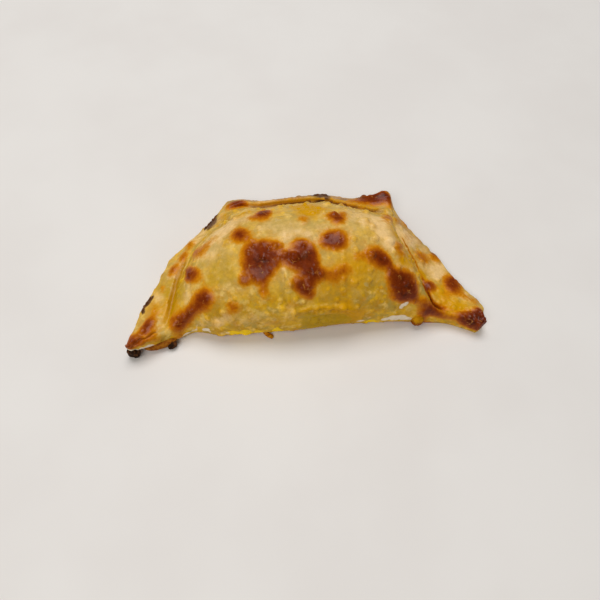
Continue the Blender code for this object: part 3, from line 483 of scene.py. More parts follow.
def from_line(line):
    """How far in mm every vertex is from a line drawn on the surface, large where it's far, and the nearest share of the line."""
    points = np.array([on_grid(rings, s, v) for s, v in line])
    best = np.full(rings.shape[:2], 99.0)
    share = np.zeros(rings.shape[:2])
    near = np.nonzero(((rings > points.min(0) - 9) & (rings < points.max(0) + 9)).all(-1))
    p, b, w = rings[near], best[near], share[near]
    for k in range(len(points) - 1):
        a, e = points[k], points[k + 1] - points[k]
        t = np.clip(((p - a) @ e) / (e @ e), 0, 1)
        d = np.linalg.norm(p - a - t[:, None] * e, axis=1)
        w = np.where(d < b, (k + t) / (len(points) - 1), w)
        b = np.minimum(b, d)
    best[near], share[near] = b, w
    return best, share


def eased(grid, rows_wide, rounds):
    """The top rows smoothed along each rib."""
    soft = grid[:, :TOP_FINE].copy()
    for _ in range(rounds):
        padded = np.pad(soft, ((0, 0), (rows_wide, rows_wide), (0, 0)), mode="edge")
        soft = sum(padded[:, k:k + TOP_FINE] for k in range(2 * rows_wide + 1)) / (2 * rows_wide + 1)
    return soft


def from_crease():
    """How far in mm each top vertex is behind the crease between body and hem, measured over the surface; the body is negative."""
    s = np.linspace(0, 1, STATIONS_FINE)
    front, outer = rounded(FRONT, s, FRONT_ROUND), rounded(HEM, s, HEM_ROUND)
    deep = np.hypot(*(outer - front).T)
    body = deep - np.minimum(keyed(s, HEM_WIDTH), deep * 0.86)
    crease = np.column_stack([front + (outer - front) / deep[:, None] * body[:, None], keyed(s, CREASE_Z)])
    side = np.linalg.norm(np.diff(rings[:, :TOP_FINE], axis=1), axis=2)
    arc = np.concatenate([np.zeros((STATIONS_FINE, 1)), np.cumsum(side, 1)], 1)
    row = np.linalg.norm(rings[:, :TOP_FINE] - crease[:, None], axis=2).argmin(1)
    behind = np.full(rings.shape[:2], 99.0)
    behind[:, :TOP_FINE] = arc - np.take_along_axis(arc, row[:, None], 1)
    return behind


# The fold between body and hem is gentle at the left and above the slit at the right, and sharp at the back
behind = from_crease()
share = np.linspace(0, 1, STATIONS_FINE)[:, None]
gentle = (1 - smoothstep(0.33, 0.385, share)) * smoothstep(0.01, 0.05, share) + 0.85 * smoothstep(0.655, 0.69, share) * (1 - smoothstep(0.80, 0.835, share))
soft_rings = eased(rings, 5, 5)
ease = gentle * np.exp(-(behind / 7.5) ** 4)
rings[:, :TOP_FINE] += (soft_rings - rings[:, :TOP_FINE]) * ease[:, :TOP_FINE, None]

du, dv, out = slopes(rings)
if out[STATIONS_FINE // 2, TOP_FINE // 2, 2] < 0:
    out = -out


def marks(spots, soft, ragged, seed, core=0.0):
    """One field from 0 to 1 out of soft-edged ovals on the surface. Their outlines wander by this share of their size, and
    this share of their strength is kept for the core."""
    field = np.zeros(rings.shape[:2])
    wander = layered(rings, 4.5, seed, 3)
    for s, v, long, wide, turn, strength in spots:
        middle, normal, along = on_grid(rings, s, v), on_grid(out, s, v), on_grid(du, s, v)
        normal = normal / np.linalg.norm(normal)
        along = along - normal * (along @ normal)
        along /= np.linalg.norm(along)
        side = np.cross(normal, along)
        a = math.radians(turn)
        one, two = along * math.cos(a) + side * math.sin(a), side * math.cos(a) - along * math.sin(a)
        reach = 1.9 * max(long, wide) + 2
        near = np.nonzero((np.abs(rings - middle) < reach).all(-1))
        d = rings[near] - middle
        facing = (out[near] @ normal) > -0.1
        r = np.sqrt((d @ one / long) ** 2 + (d @ two / wide) ** 2 + (d @ normal / (0.7 * (long + wide) + 1.5)) ** 2)
        r = r + ragged * wander[near]
        f = (1 - core) * (1 - smoothstep(1 - soft, 1 + soft, r)) + core * (1 - smoothstep(0.05, 1.05, r))
        field[near] = 1 - (1 - field[near]) * (1 - np.clip(strength, 0, 1) * f * facing)
    return field


def softened(field, mm, rounds=26):
    """The field spread over the surface by about this much, however dense the grid is."""
    along = np.linalg.norm(np.diff(rings, axis=0), axis=2)
    over = np.linalg.norm(np.roll(rings, -1, axis=1) - rings, axis=2)
    step = mm * mm / (2 * rounds)
    a, b = np.minimum(step / (along**2 + 1e-6), 0.24), np.minimum(step / (over**2 + 1e-6), 0.24)
    field = field.copy()
    for _ in range(rounds):
        u = a * np.diff(field, axis=0)
        v = b * (np.roll(field, -1, axis=1) - field)
        field[:-1] += u
        field[1:] -= u
        field += v - np.roll(v, 1, axis=1)
    return field


top = np.zeros(rings.shape[:2]); top[:, :TOP_FINE] = 1
s_all = np.linspace(0, 1, STATIONS_FINE)[:, None] + 0 * top
side = np.linalg.norm(np.diff(rings[:, :TOP_FINE], axis=1), axis=2)
arc = np.concatenate([np.zeros((STATIONS_FINE, 1)), np.cumsum(side, 1)], 1)
arcs = np.full(rings.shape[:2], 1.0); arcs[:, :TOP_FINE] = arc / arc[:, -1:]             # share of the way over the top
from_edge = np.full(rings.shape[:2], 99.0)          # how far over the top a point is from the hem's outer edge
reach = np.hypot(rings[:, :TOP_FINE, 0] - rings[:, :1, 0], rings[:, :TOP_FINE, 1] - rings[:, :1, 1])
outer_row = reach.argmax(1)
from_edge[:, :TOP_FINE] = np.abs(arc - np.take_along_axis(arc, outer_row[:, None], 1))
edge = np.exp(-(from_edge / 2.2) ** 2)
flat = smoothstep(0.0, 2.2, rings[..., 2] - np.minimum(keyed(s_all, UNDER_Z), 99))   # 0 on the underside, 1 above it
thin = smoothstep(6, 16, rings[..., 2])

brown = marks([(s, v, 1.08 * a + 0.25, 1.08 * b + 0.25, t, k) for s, v, a, b, t, k in BROWN + BROWN_UNSEEN], 0.58, 0.22, 11, 0.45)
brown = softened(brown, 1.15)
char = marks(CHAR, 0.45, 0.4, 12)
cream_and_sheen = marks(CREAM_AND_SHEEN, 0.6, 0.45, 13)
yellow = marks(YELLOW, 0.55, 0.45, 14)
grey = marks(GREY_AND_SHEEN, 0.6, 0.5, 15)
pale = marks(PALE, 0.35, 0.5, 16)
egg = marks(EGG, 0.35, 0.45, 17)
olive_and_shade = marks(OLIVE_AND_SHADE, 0.35, 0.25, 18)
tan = marks(TAN, 0.6, 0.4, 19)
# painted shade in the slits and creases, filled in below
painted_crease_shade = np.zeros(rings.shape[:2])

lift = np.zeros(rings.shape[:2])
lift += 0.55 * layered(rings, 17, 1, 2) * (0.35 + 0.65 * thin)
lift += 0.30 * layered(rings, 6.5, 2, 2) * (0.5 + 0.5 * thin)
wide_bubbles, mid_bubbles, small_bubbles = bubbles(rings, 6.0, 21, 0.55), bubbles(rings, 3.4, 31, 0.6), bubbles(rings, 1.9, 41, 0.55)
lift += (0.46 * wide_bubbles + 0.34 * mid_bubbles + 0.22 * small_bubbles) * (0.55 + 0.45 * thin)
blister = np.clip(0.35 * wide_bubbles + 0.75 * mid_bubbles + 0.55 * small_bubbles, 0, 1)
rise = marks([(s, v, a * 0.95, b * 0.95, t, min(1, 0.35 + k)) for s, v, a, b, t, k in BROWN if a > 2.0], 0.62, 0.25, 11)
lift += 0.75 * rise
lift += brown * (0.14 * bubbles(rings, 2.4, 51, 0.6) + 0.05 * noise(rings, 1.3, 52))
back = smoothstep(0.37, 0.42, s_all) * (1 - smoothstep(0.655, 0.685, s_all))         # the slit along the back, under its lip
foot_slit = smoothstep(0.826, 0.842, s_all) * (1 - smoothstep(0.868, 0.893, s_all))      # the short slit at the right
waver = 0.35 * layered(rings, 5.0, 66, 2) + 0.15 * noise(rings, 1.6, 67)
lift *= 1 - 0.8 * np.exp(-(behind / 5.0) ** 2) * np.maximum(back, 0.6 * foot_slit)
lift -= 0.9 * back * np.exp(-((behind + 3.2) / 3.0) ** 2)
lift += 0.7 * back * np.exp(-((behind - 2.2) / 1.6) ** 2)
slit_at = 0.35 + 1.0 * smoothstep(0.54, 0.62, s_all)
cut = np.exp(-((behind - slit_at + waver) / 0.75) ** 2)
lift -= 1.1 * back * cut
deepest = np.exp(-((s_all - 0.515) / 0.035) ** 2)
# painted shade along the back slit
painted_crease_shade = np.maximum(painted_crease_shade, back * np.exp(-((behind - slit_at + 0.6 * waver) / 0.70) ** 4) * np.clip(0.50 + 0.45 * deepest + 0.5 * noise(rings, 4.0, 68), 0, 1))
lip = back * np.exp(-((behind - slit_at - 1.6 + waver) / 1.15) ** 2)
yellow = np.maximum(yellow, 0.85 * lip)
outer = smoothstep(0.355, 0.39, s_all) * (1 - smoothstep(0.64, 0.67, s_all)) * smoothstep(2.6, 4.4, behind + 2 * waver) * top
tan = np.maximum(tan, 0.62 * outer)
rim = smoothstep(0.30, 0.34, s_all) * (1 - smoothstep(0.70, 0.74, s_all)) * np.exp(-(from_edge / 1.5) ** 2) * np.clip(0.55 + 0.9 * noise(rings, 5.0, 69), 0, 1) * top
brown = np.maximum(brown, 0.34 * rim)
seen_at = keyed(s_all, SLIT_SEEN)                                                         # where the body's edge uncovers the hem
lift += 0.6 * foot_slit * np.exp(-((behind - seen_at - 2.4) / 1.5) ** 2)
lift -= 0.5 * foot_slit * np.exp(-((behind - seen_at + 0.6) / 1.2) ** 2)
# painted shade in the short slit at the right, along where the body's edge uncovers the hem seen from the camera
painted_crease_shade = np.maximum(painted_crease_shade, 0.9 * foot_slit * np.exp(-((behind - seen_at + 0.4) / 0.95) ** 4))
brown = np.maximum(brown, 0.50 * smoothstep(0.795, 0.818, s_all) * (1 - smoothstep(0.885, 0.91, s_all)) * np.exp(-((behind - seen_at + waver) / 1.5) ** 2))
brown = np.maximum(brown, 0.34 * smoothstep(0.725, 0.75, s_all) * (1 - smoothstep(0.79, 0.81, s_all)) * np.exp(-((behind - 4.4 + waver) / 1.3) ** 2))
trough = (1 - smoothstep(0.205, 0.235, s_all)) * smoothstep(0.085, 0.150, s_all)           # the shallow fold at the left
lift *= 1 - 0.35 * trough * np.exp(-((behind - 1.0) / 6.0) ** 2)
lift -= 0.15 * trough * np.exp(-((behind - 0.6) / 3.6) ** 2)
lift += 0.10 * trough * np.exp(-((behind - 0.6) / 2.6) ** 2) * (noise(rings, 1.5, 63) + noise(rings, 0.9, 64))
# thicker glaze and painted shade along the bottom of the shallow fold at the left
fold_glaze_and_shade = trough * np.exp(-((behind - 1.7 + 1.2 * waver) / 3.1) ** 4)
shoulder = smoothstep(0.70, 0.735, s_all) * (1 - smoothstep(0.83, 0.85, s_all))          # the glazed fold at the right
lift += 0.35 * shoulder * np.exp(-((behind - 3.0) / 2.0) ** 2)
yellow = np.maximum(yellow, 0.95 * shoulder * np.exp(-((behind + 0.3 + 1.5 * waver) / 1.9) ** 2))
front_foot = top * (arcs < 0.35) * smoothstep(0.17, 0.22, s_all) * (1 - smoothstep(0.86, 0.90, s_all)) * np.exp(-((rings[..., 2] - 0.4) / 1.3) ** 2)
brown = np.maximum(brown, 0.75 * front_foot * np.clip(0.45 + 1.1 * layered(rings, 6.0, 65, 2), 0, 1) * (1 - pale))
lift -= 0.25 * pale
for name, wide, deep, strength, line in VALLEYS:
    d, w = from_line(line)
    end = smoothstep(0, 0.14, w) * (1 - smoothstep(0.86, 1, w))
    ragged = 1 + 0.35 * noise(rings, 2.4, 61)
    cut = np.exp(-(d / (wide * 0.62 * ragged)) ** 2) * (0.25 + 0.75 * end)
    lift -= deep * cut
    lift += 0.28 * deep * np.exp(-((d - 1.5 * wide) / (0.9 * wide)) ** 2) * end
    # painted shade along each crease
    painted_crease_shade = np.maximum(painted_crease_shade, strength * np.exp(-(d / (wide * 0.60 * ragged)) ** 4) * (0.3 + 0.7 * end))
for name, wide, high, line in RIDGES:
    d, w = from_line(line)
    end = smoothstep(0, 0.2, w) * (1 - smoothstep(0.8, 1, w))
    lift += high * np.exp(-(d / (wide * (1 + 0.25 * noise(rings, 3, 62)))) ** 2) * end
lift *= flat
lift -= edge * flat * 0.1

rag = edge * top
spread = 0.55 * noise(rings, 4.2, 71) + 0.40 * noise(rings, 1.8, 72)
local = rings + out * lift[..., None]
rib = rings[:, TOP_FINE - 1:TOP_FINE] * 0 + (np.take_along_axis(rings[:, :TOP_FINE], outer_row[:, None, None].repeat(3, 2), 1) - rings[:, :1])
rib[..., 2] = 0
rib /= np.linalg.norm(rib, axis=2, keepdims=True) + 1e-9
local = local + rib * (rag * spread)[..., None]
under_row = np.zeros(rings.shape[:2], bool); under_row[:, TOP_FINE:] = True
local[..., 2] = np.where(under_row, rings[..., 2] + 0.18 * (1 + noise(rings, 5, 81)) * 0.5, local[..., 2])
local[..., 2] = np.maximum(local[..., 2], np.minimum(rings[..., 2], 0.02))

# ---------------------------------------------------------------- placing in the frame
solid_low, solid_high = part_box("empanada")
lumps = {"burnt_foot": BURNT_FOOT, "lower_layer": LOWER_LAYER, "front_knob": KNOB}
every = [rings.reshape(-1, 3)] + [lump(*size)[0] for size in lumps.values()]
every.append(np.array([rings[0].mean(0) - [NOSE_OUT, 0, 0], rings[-1].mean(0) + [NOSE_OUT, 0, 0]]))
low, high = np.min([p.min(0) for p in every], axis=0), np.max([p.max(0) for p in every], axis=0)
drawn = np.array([(low[0] + high[0]) / 2, (low[1] + high[1]) / 2, low[2]])
placed = np.array([(solid_low.x + solid_high.x) / 2, (solid_low.y + solid_high.y) / 2, solid_low.z])


def to_frame(points):
    return (np.asarray(points) - drawn) * MM + placed


def make_mesh(name, points, faces, values=None):
    mesh = bpy.data.meshes.new(name)
    mesh.vertices.add(len(points))
    mesh.vertices.foreach_set("co", to_frame(points).astype(np.float32).ravel())
    sizes = np.array([len(f) for f in faces])
    starts = np.r_[0, np.cumsum(sizes)[:-1]]
    corners = np.concatenate([np.asarray(f) for f in faces]) if not isinstance(faces, np.ndarray) else faces.ravel()
    mesh.loops.add(len(corners))
    mesh.loops.foreach_set("vertex_index", corners.astype(np.int32))
    mesh.polygons.add(len(sizes))
    mesh.polygons.foreach_set("loop_start", starts.astype(np.int32))
    mesh.polygons.foreach_set("use_smooth", np.ones(len(sizes), bool))
    mesh.update(calc_edges=True)
    mesh.validate()
    for key, value in (values or {}).items():
        a = mesh.attributes.new(key, "FLOAT", "POINT")
        a.data.foreach_set("value", value.astype(np.float32).ravel())
    obj = bpy.data.objects.new(name, mesh)
    bpy.context.scene.collection.objects.link(obj)
    return obj


def crust_mesh():
    """The displaced grid as one closed mesh with a rounded nose at each tip."""
    # painted_top_sheen is painted sheen: the crust is made lighter where it faces up
    fields = {"fold": fold_glaze_and_shade, "brown": brown, "char": char, "cream_and_sheen": cream_and_sheen, "yellow": yellow, "grey": grey, "pale": pale, "egg": egg, "painted_crease_shade": painted_crease_shade, "olive_and_shade": olive_and_shade, "tan": tan, "painted_top_sheen": smoothstep(0.40, 0.92, np.abs(out[..., 2])) * top, "blister": blister * top,
              "below": under_row.astype(float)}
    layers, index = [], []
    for end, i, way in ((local[0], 0, -1), (local[-1], STATIONS_FINE - 1, 1)):
        middle = end.mean(0)
        nose = []
        for k in range(1, 5):
            turn = np.pi / 2 * k / 5
            nose.append(middle + (end - middle) * np.cos(turn) + np.array([way * NOSE_OUT * np.sin(turn), 0, 0]))
        if way < 0:
            layers, index = nose[::-1] + list(local), [0] * 4 + list(range(STATIONS_FINE))
        else:
            layers, index = layers + nose, index + [i] * 4
    count = len(layers)
    tips = np.array([layers[0].mean(0) - [NOSE_OUT * 0.05, 0, 0], layers[-1].mean(0) + [NOSE_OUT * 0.05, 0, 0]])
    points = np.concatenate([np.concatenate(layers), tips])
    i, j = np.meshgrid(np.arange(count - 1), np.arange(rows), indexing="ij")
    k = (j + 1) % rows
    quads = np.stack([i * rows + j, i * rows + k, (i + 1) * rows + k, (i + 1) * rows + j], -1).reshape(-1, 4)
    j = np.arange(rows)
    k = (j + 1) % rows
    first = np.stack([np.full(rows, count * rows), k, j], -1)
    last = np.stack([np.full(rows, count * rows + 1), (count - 1) * rows + j, (count - 1) * rows + k], -1)
    a, b, c = (points[quads[:, n]] for n in (0, 1, 2))
    inward = (np.cross(b - a, c - a) * (a - points.mean(0))).sum() < 0
    faces = list(quads[:, ::-1] if inward else quads) + list(first[:, ::-1] if inward else first) + list(last[:, ::-1] if inward else last)
    values = {key: np.concatenate([value[index].ravel(), [value[0].mean(), value[-1].mean()]]) for key, value in fields.items()}
    return points, faces, values


# ---------------------------------------------------------------- materials
class Nodes:
    """Short names for the few node kinds used here."""

    def __init__(self, name):
        self.material = bpy.data.materials.new(name)
        self.material.use_nodes = True
        self.tree = self.material.node_tree
        self.shader = self.tree.nodes["Principled BSDF"]
        coordinates = self.tree.nodes.new("ShaderNodeTexCoord")
        self.place = coordinates.outputs["Object"]

    def link(self, value, socket):
        if isinstance(value, (int, float)):
            socket.default_value = value
        elif isinstance(value, tuple):
            socket.default_value = (*value, 1) if len(value) == 3 else value
        else:
            self.tree.links.new(value, socket)

    def attribute(self, name):
        node = self.tree.nodes.new("ShaderNodeAttribute")
        node.attribute_type = "GEOMETRY"
        node.attribute_name = name
        return node.outputs["Fac"]

    def noise(self, size_mm, detail=3.0, rough=0.55, seed=0.0, warp=0.0):
        node = self.tree.nodes.new("ShaderNodeTexNoise")
        node.noise_dimensions = "4D"
        node.inputs["W"].default_value = seed
        node.inputs["Scale"].default_value = 1000 / size_mm
        node.inputs["Detail"].default_value = detail
        node.inputs["Roughness"].default_value = rough
        node.inputs["Distortion"].default_value = warp
        self.link(self.place, node.inputs["Vector"])
        return node.outputs["Fac"]

    def cells(self, size_mm, feature="F1", wander_mm=0.0):
        node = self.tree.nodes.new("ShaderNodeTexVoronoi")
        node.feature = feature
        node.inputs["Scale"].default_value = 1000 / size_mm
        shift = self.tree.nodes.new("ShaderNodeTexNoise")
        shift.inputs["Scale"].default_value = 1000 / (0.6 * size_mm)
        self.link(self.place, shift.inputs["Vector"])
        moved = self.tree.nodes.new("ShaderNodeVectorMath")
        moved.operation = "MULTIPLY_ADD"
        self.link(shift.outputs["Color"], moved.inputs[0])
        moved.inputs[1].default_value = (wander_mm * MM,) * 3
        self.link(self.place, moved.inputs[2])
        self.link(moved.outputs[0], node.inputs["Vector"])
        return node.outputs["Distance"]

    def math(self, kind, a, b=0.0, c=0.0, clamp=False):
        node = self.tree.nodes.new("ShaderNodeMath")
        node.operation = kind
        node.use_clamp = clamp
        for value, socket in zip((a, b, c), node.inputs):
            self.link(value, socket)
        return node.outputs[0]

    def step(self, value, low, high, a=0.0, b=1.0):
        node = self.tree.nodes.new("ShaderNodeMapRange")
        node.interpolation_type = "SMOOTHSTEP"
        for v, key in ((value, "Value"), (low, "From Min"), (high, "From Max"), (a, "To Min"), (b, "To Max")):
            self.link(v, node.inputs[key])
        return node.outputs["Result"]

    def mix(self, share, a, b, kind="MIX"):
        node = self.tree.nodes.new("ShaderNodeMix")
        node.data_type = "RGBA"
        node.blend_type = kind
        self.link(share, node.inputs[0])
        self.link(a, node.inputs[6])
        self.link(b, node.inputs[7])
        return node.outputs[2]

    def bump(self, height, far_mm, strength=1.0, below=None):
        node = self.tree.nodes.new("ShaderNodeBump")
        node.inputs["Strength"].default_value = strength
        node.inputs["Distance"].default_value = far_mm * MM
        self.link(height, node.inputs["Height"])
        if below is not None:
            self.link(below, node.inputs["Normal"])
        return node.outputs["Normal"]


GOLD_DEEP, GOLD_LIGHT = (0.52, 0.26, 0.002), (0.84, 0.48, 0.010)
CREAM_AND_SHEEN_TONE, GLAZE_TONE, GREY_AND_SHEEN_TONE = (0.93, 0.62, 0.27), (0.66, 0.32, 0.001), (0.56, 0.38, 0.10)
ORANGE_TONE, OLIVE_AND_SHADE_TONE, TAN_TONE = (0.68, 0.28, 0.001), (0.47, 0.28, 0.001), (0.50, 0.25, 0.085)
HALO_TONE, EDGE_BROWN, MID_BROWN = (0.64, 0.245, 0.002), (0.48, 0.135, 0.001), (0.30, 0.056, 0.001)
DEEP_BROWN, DARKEST = (0.180, 0.024, 0.001), (0.085, 0.011, 0.001)
BURNT_TONE, PALE_TONE, EGG_TONE = (0.125, 0.052, 0.020), (0.88, 0.76, 0.58), (1.0, 0.64, 0.003)


def crust_material():
    n = Nodes("baked_crust")
    broad, mid, small, fine = n.noise(12, 3, 0.5, 1.0), n.noise(5.5, 4, 0.55, 2.0, 0.3), n.noise(1.8, 3, 0.55, 3.0), n.noise(0.6, 2, 0.5, 4.0)

    def stirred(field, by, amount):
        """A field with its edges broken up by noise."""
        return n.math("ADD", field, n.math("MULTIPLY", n.math("SUBTRACT", by, 0.5), amount))

    tone = n.math("ADD", n.math("MULTIPLY", broad, 0.3), n.math("MULTIPLY", mid, 0.7))
    colour = n.mix(n.step(tone, 0.40, 0.60), GOLD_DEEP, GOLD_LIGHT)
    colour = n.mix(n.step(n.noise(5.4, 3, 0.5, 21.0, 0.4), 0.50, 0.66, 0.0, 0.52), colour, ORANGE_TONE)
    colour = n.mix(n.step(n.noise(4.6, 3, 0.5, 22.0, 0.3), 0.48, 0.66, 0.0, 0.85), colour, (0.46, 0.31, 0.050))
    colour = n.mix(n.step(n.noise(4.0, 3, 0.5, 23.0), 0.52, 0.68, 0.0, 0.80), colour, (0.94, 0.63, 0.15))
    # painted sheen: lighter where the crust faces up
    painted_top_sheen = stirred(stirred(n.attribute("painted_top_sheen"), mid, 0.9), n.noise(2.2, 3, 0.6, 28.0), 0.5)
    colour = n.mix(n.step(painted_top_sheen, 0.15, 1.05, 0.0, 0.34), colour, (0.76, 0.49, 0.18))
    raised = stirred(n.attribute("blister"), n.noise(2.6, 3, 0.6, 31.0), 0.7)
    colour = n.mix(n.step(raised, 0.30, 0.90, 0.0, 0.55), colour, (0.80, 0.44, 0.025))
    colour = n.mix(n.step(raised, 0.26, -0.20, 0.0, 0.40), colour, (0.50, 0.34, 0.07))
    colour = n.mix(n.step(stirred(stirred(n.attribute("tan"), mid, 0.6), small, 0.3), 0.10, 0.90), colour, TAN_TONE)
    # paler dough and painted sheen
    cream_and_sheen_share = stirred(stirred(n.attribute("cream_and_sheen"), mid, 0.8), n.noise(2.6, 3, 0.6, 25.0), 0.7)
    colour = n.mix(n.step(cream_and_sheen_share, 0.15, 1.0), colour, CREAM_AND_SHEEN_TONE)
    glaze = stirred(stirred(n.attribute("yellow"), small, 0.5), mid, 0.5)
    colour = n.mix(n.step(glaze, 0.08, 0.90), colour, GLAZE_TONE)
    # greenish mottles and painted sheen
    greyed_and_sheen = stirred(n.attribute("grey"), n.noise(2.8, 3, 0.6, 7.0), 0.9)
    colour = n.mix(n.step(greyed_and_sheen, 0.08, 0.90, 0.0, 0.90), colour, GREY_AND_SHEEN_TONE)
    # darker glaze and painted shade under the front fold and along folds
    colour = n.mix(n.step(stirred(stirred(n.attribute("olive_and_shade"), mid, 0.6), small, 0.4), 0.10, 0.95, 0.0, 0.8), colour, OLIVE_AND_SHADE_TONE)
    # darker band of glaze and painted shade along the left fold
    colour = n.mix(n.step(stirred(n.attribute("fold"), small, 0.5), 0.10, 0.85, 0.0, 0.92), colour, (0.44, 0.200, 0.001))
    patchy = n.math("ADD", 0.56, n.math("MULTIPLY", n.noise(3.4, 3, 0.6, 17.0, 0.4), 0.92))
    browned = stirred(stirred(n.math("MULTIPLY", n.attribute("brown"), patchy), small, 0.26), n.noise(1.3, 3, 0.6, 16.0), 0.24)
    for low, high, tint in ((0.03, 0.26, HALO_TONE), (0.18, 0.42, EDGE_BROWN), (0.36, 0.62, MID_BROWN), (0.54, 0.80, DEEP_BROWN), (0.80, 1.06, DARKEST)):
        colour = n.mix(n.step(browned, low, high), colour, tint)
    flaking = n.math("MULTIPLY", n.step(n.cells(3.2, "DISTANCE_TO_EDGE", 1.8), 0.010, 0.080, 1.0, 0.0), n.math("MULTIPLY", n.step(n.noise(5.0, 3, 0.6, 27.0), 0.50, 0.62, 0.0, 0.75), n.step(n.noise(1.7, 2, 0.5, 32.0), 0.42, 0.60)))
    colour = n.mix(n.math("MULTIPLY", flaking, n.step(browned, 0.45, 0.65)), colour, (0.50, 0.20, 0.035))
    # painted shade in slits and creases
    colour = n.mix(n.attribute("painted_crease_shade"), colour, (0.18, 0.038, 0.001))
    burnt = stirred(n.attribute("char"), small, 0.35)
    colour = n.mix(n.step(burnt, 0.15, 0.8), colour, BURNT_TONE)
    yolky = stirred(n.attribute("egg"), small, 0.5)
    colour = n.mix(n.step(yolky, 0.2, 0.6), colour, EGG_TONE)
    raw = n.step(stirred(stirred(n.attribute("pale"), small, 0.5), n.noise(0.9, 2, 0.5, 33.0), 0.4), 0.15, 0.75)
    colour = n.mix(raw, colour, PALE_TONE)
    tray = n.mix(n.step(n.noise(7, 4, 0.6, 12.0), 0.42, 0.62), (0.56, 0.35, 0.12), (0.30, 0.12, 0.025))
    colour = n.mix(n.attribute("below"), colour, tray)
    speckle = n.math("ADD", 0.65, n.math("ADD", n.math("MULTIPLY", n.noise(1.3, 4, 0.7, 29.0), 0.50), n.math("MULTIPLY", n.noise(4.0, 3, 0.6, 30.0), 0.22)))
    grey = n.tree.nodes.new("ShaderNodeCombineColor")
    for socket in grey.inputs[:3]:
        n.link(speckle, socket)
    colour = n.mix(1.0, colour, grey.outputs[0], "MULTIPLY")
    n.link(colour, n.shader.inputs["Base Color"])
    n.shader.inputs["Roughness"].default_value = 0.6
    n.shader.inputs["Specular IOR Level"].default_value = 0.0
    n.shader.inputs["Coat Weight"].default_value = 0.30
    n.shader.inputs["Coat Roughness"].default_value = 0.25
    height = n.math("ADD", n.math("MULTIPLY", fine, 0.35), n.math("MULTIPLY", small, 0.65))
    n.link(n.bump(height, 0.30, 0.75), n.shader.inputs["Normal"])
    return n.material


def bit_material(name, light, dark_tone, share, foot=None, rough=(0.45, 0.7), foot_at=(0.35, 0.65)):
    """Burnt or browned dough of the small bits, darker toward the bottom where a foot tone is given."""
    n = Nodes(name)
    mottle = n.noise(2.2, 4, 0.6, 5.0, 0.4)
    colour = n.mix(n.step(mottle, share - 0.1, share + 0.1), light, dark_tone)
    if foot:
        low = n.math("ADD", n.attribute("low"), n.math("MULTIPLY", n.math("SUBTRACT", mottle, 0.5), 0.8))
        colour = n.mix(n.step(low, *foot_at), colour, foot)
    n.link(colour, n.shader.inputs["Base Color"])
    n.link(n.step(n.noise(1.5, 3, 0.6, 6.0), 0.3, 0.7, *rough), n.shader.inputs["Roughness"])
    n.shader.inputs["Specular IOR Level"].default_value = 0.05
    n.link(n.bump(n.noise(0.8, 3, 0.6, 8.0), 0.35, 0.9), n.shader.inputs["Normal"])
    return n.material


points, faces, values = crust_mesh()
crust_piece = make_mesh("crust", points, faces, values)
crust_piece.data.materials.append(crust_material())
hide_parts("empanada")
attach(crust_piece, "root")


def add_piece(name, points, faces, material):
    points[:, 2] = np.maximum(points[:, 2], 0.02)
    height = points[:, 2]
    piece = make_mesh(name, points, faces, {"low": 1 - (height - height.min()) / (height.max() - height.min())})
    piece.data.materials.append(material)
    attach(piece, "root")
    return piece


def rough_lump(name, size, material, seed, amount=0.35, around=64, up=36, square=2.6, blister=0.5):
    """One of the solid's lumps, finely modelled and roughened."""
    points, faces = lump(*size, around=around, up=up, square=square)
    middle = points.mean(0)
    way = (points - middle) / (np.linalg.norm(points - middle, axis=1, keepdims=True) + 1e-9)
    rough = amount * layered(points, 3.0, seed, 3) + amount * 0.5 * noise(points, 1.0, seed + 5) + blister * bubbles(points, 1.6, seed + 9, 0.5)
    return add_piece(name, points + way * rough[:, None], faces, material)


def trail(name, path, widths, heights, material, seed, amount=0.15, around=40, count=60):
    """A low closed run of something set, along a path of points on or near the floor."""
    fine = spline(np.array(path, float)[None], 16)[0]
    along = np.r_[0, np.cumsum(np.linalg.norm(np.diff(fine, axis=0), axis=1))]
    share = np.linspace(0, 1, count)
    middle = np.stack([np.interp(share * along[-1], along, fine[:, k]) for k in range(3)], 1)
    wide, high = np.interp(share, np.linspace(0, 1, len(widths)), widths), np.interp(share, np.linspace(0, 1, len(heights)), heights)
    cap = np.sqrt(np.clip(1 - (2 * share - 1) ** 8, 0.02, 1))
    way = np.gradient(middle, axis=0)
    way[:, 2] = 0
    way /= np.linalg.norm(way, axis=1, keepdims=True)
    across = np.stack([-way[:, 1], way[:, 0], 0 * way[:, 0]], 1)
    turn = np.linspace(0, 2 * np.pi, around, endpoint=False)
    points = (middle[:, None] + across[:, None] * (np.cos(turn)[None, :, None] * (wide * cap)[:, None, None])
              + np.array([0, 0, 1.0]) * (np.sin(turn)[None, :, None] * (high * cap)[:, None, None])).reshape(-1, 3)
    centre = np.repeat(middle, around, axis=0)
    out = (points - centre) / (np.linalg.norm(points - centre, axis=1, keepdims=True) + 1e-9)
    points = points + out * (amount * layered(points, 1.6, seed, 3))[:, None]
    points = np.vstack([points, middle[:1], middle[-1:]])
    faces = []
    for i in range(count - 1):
        for j in range(around):
            k = (j + 1) % around
            faces.append((i * around + j, i * around + k, (i + 1) * around + k, (i + 1) * around + j))
    last = count * around
    for j in range(around):
        k = (j + 1) % around
        faces.append((last, k, j))
        faces.append((last + 1, (count - 1) * around + j, (count - 1) * around + k))
    a, b, c = (np.array([points[f[n]] for f in faces]) for n in (0, 1, 2))
    if (np.cross(b - a, c - a) * (a - points.mean(0))).sum() < 0:
        faces = [f[::-1] for f in faces]
    return add_piece(name, points, faces, material)


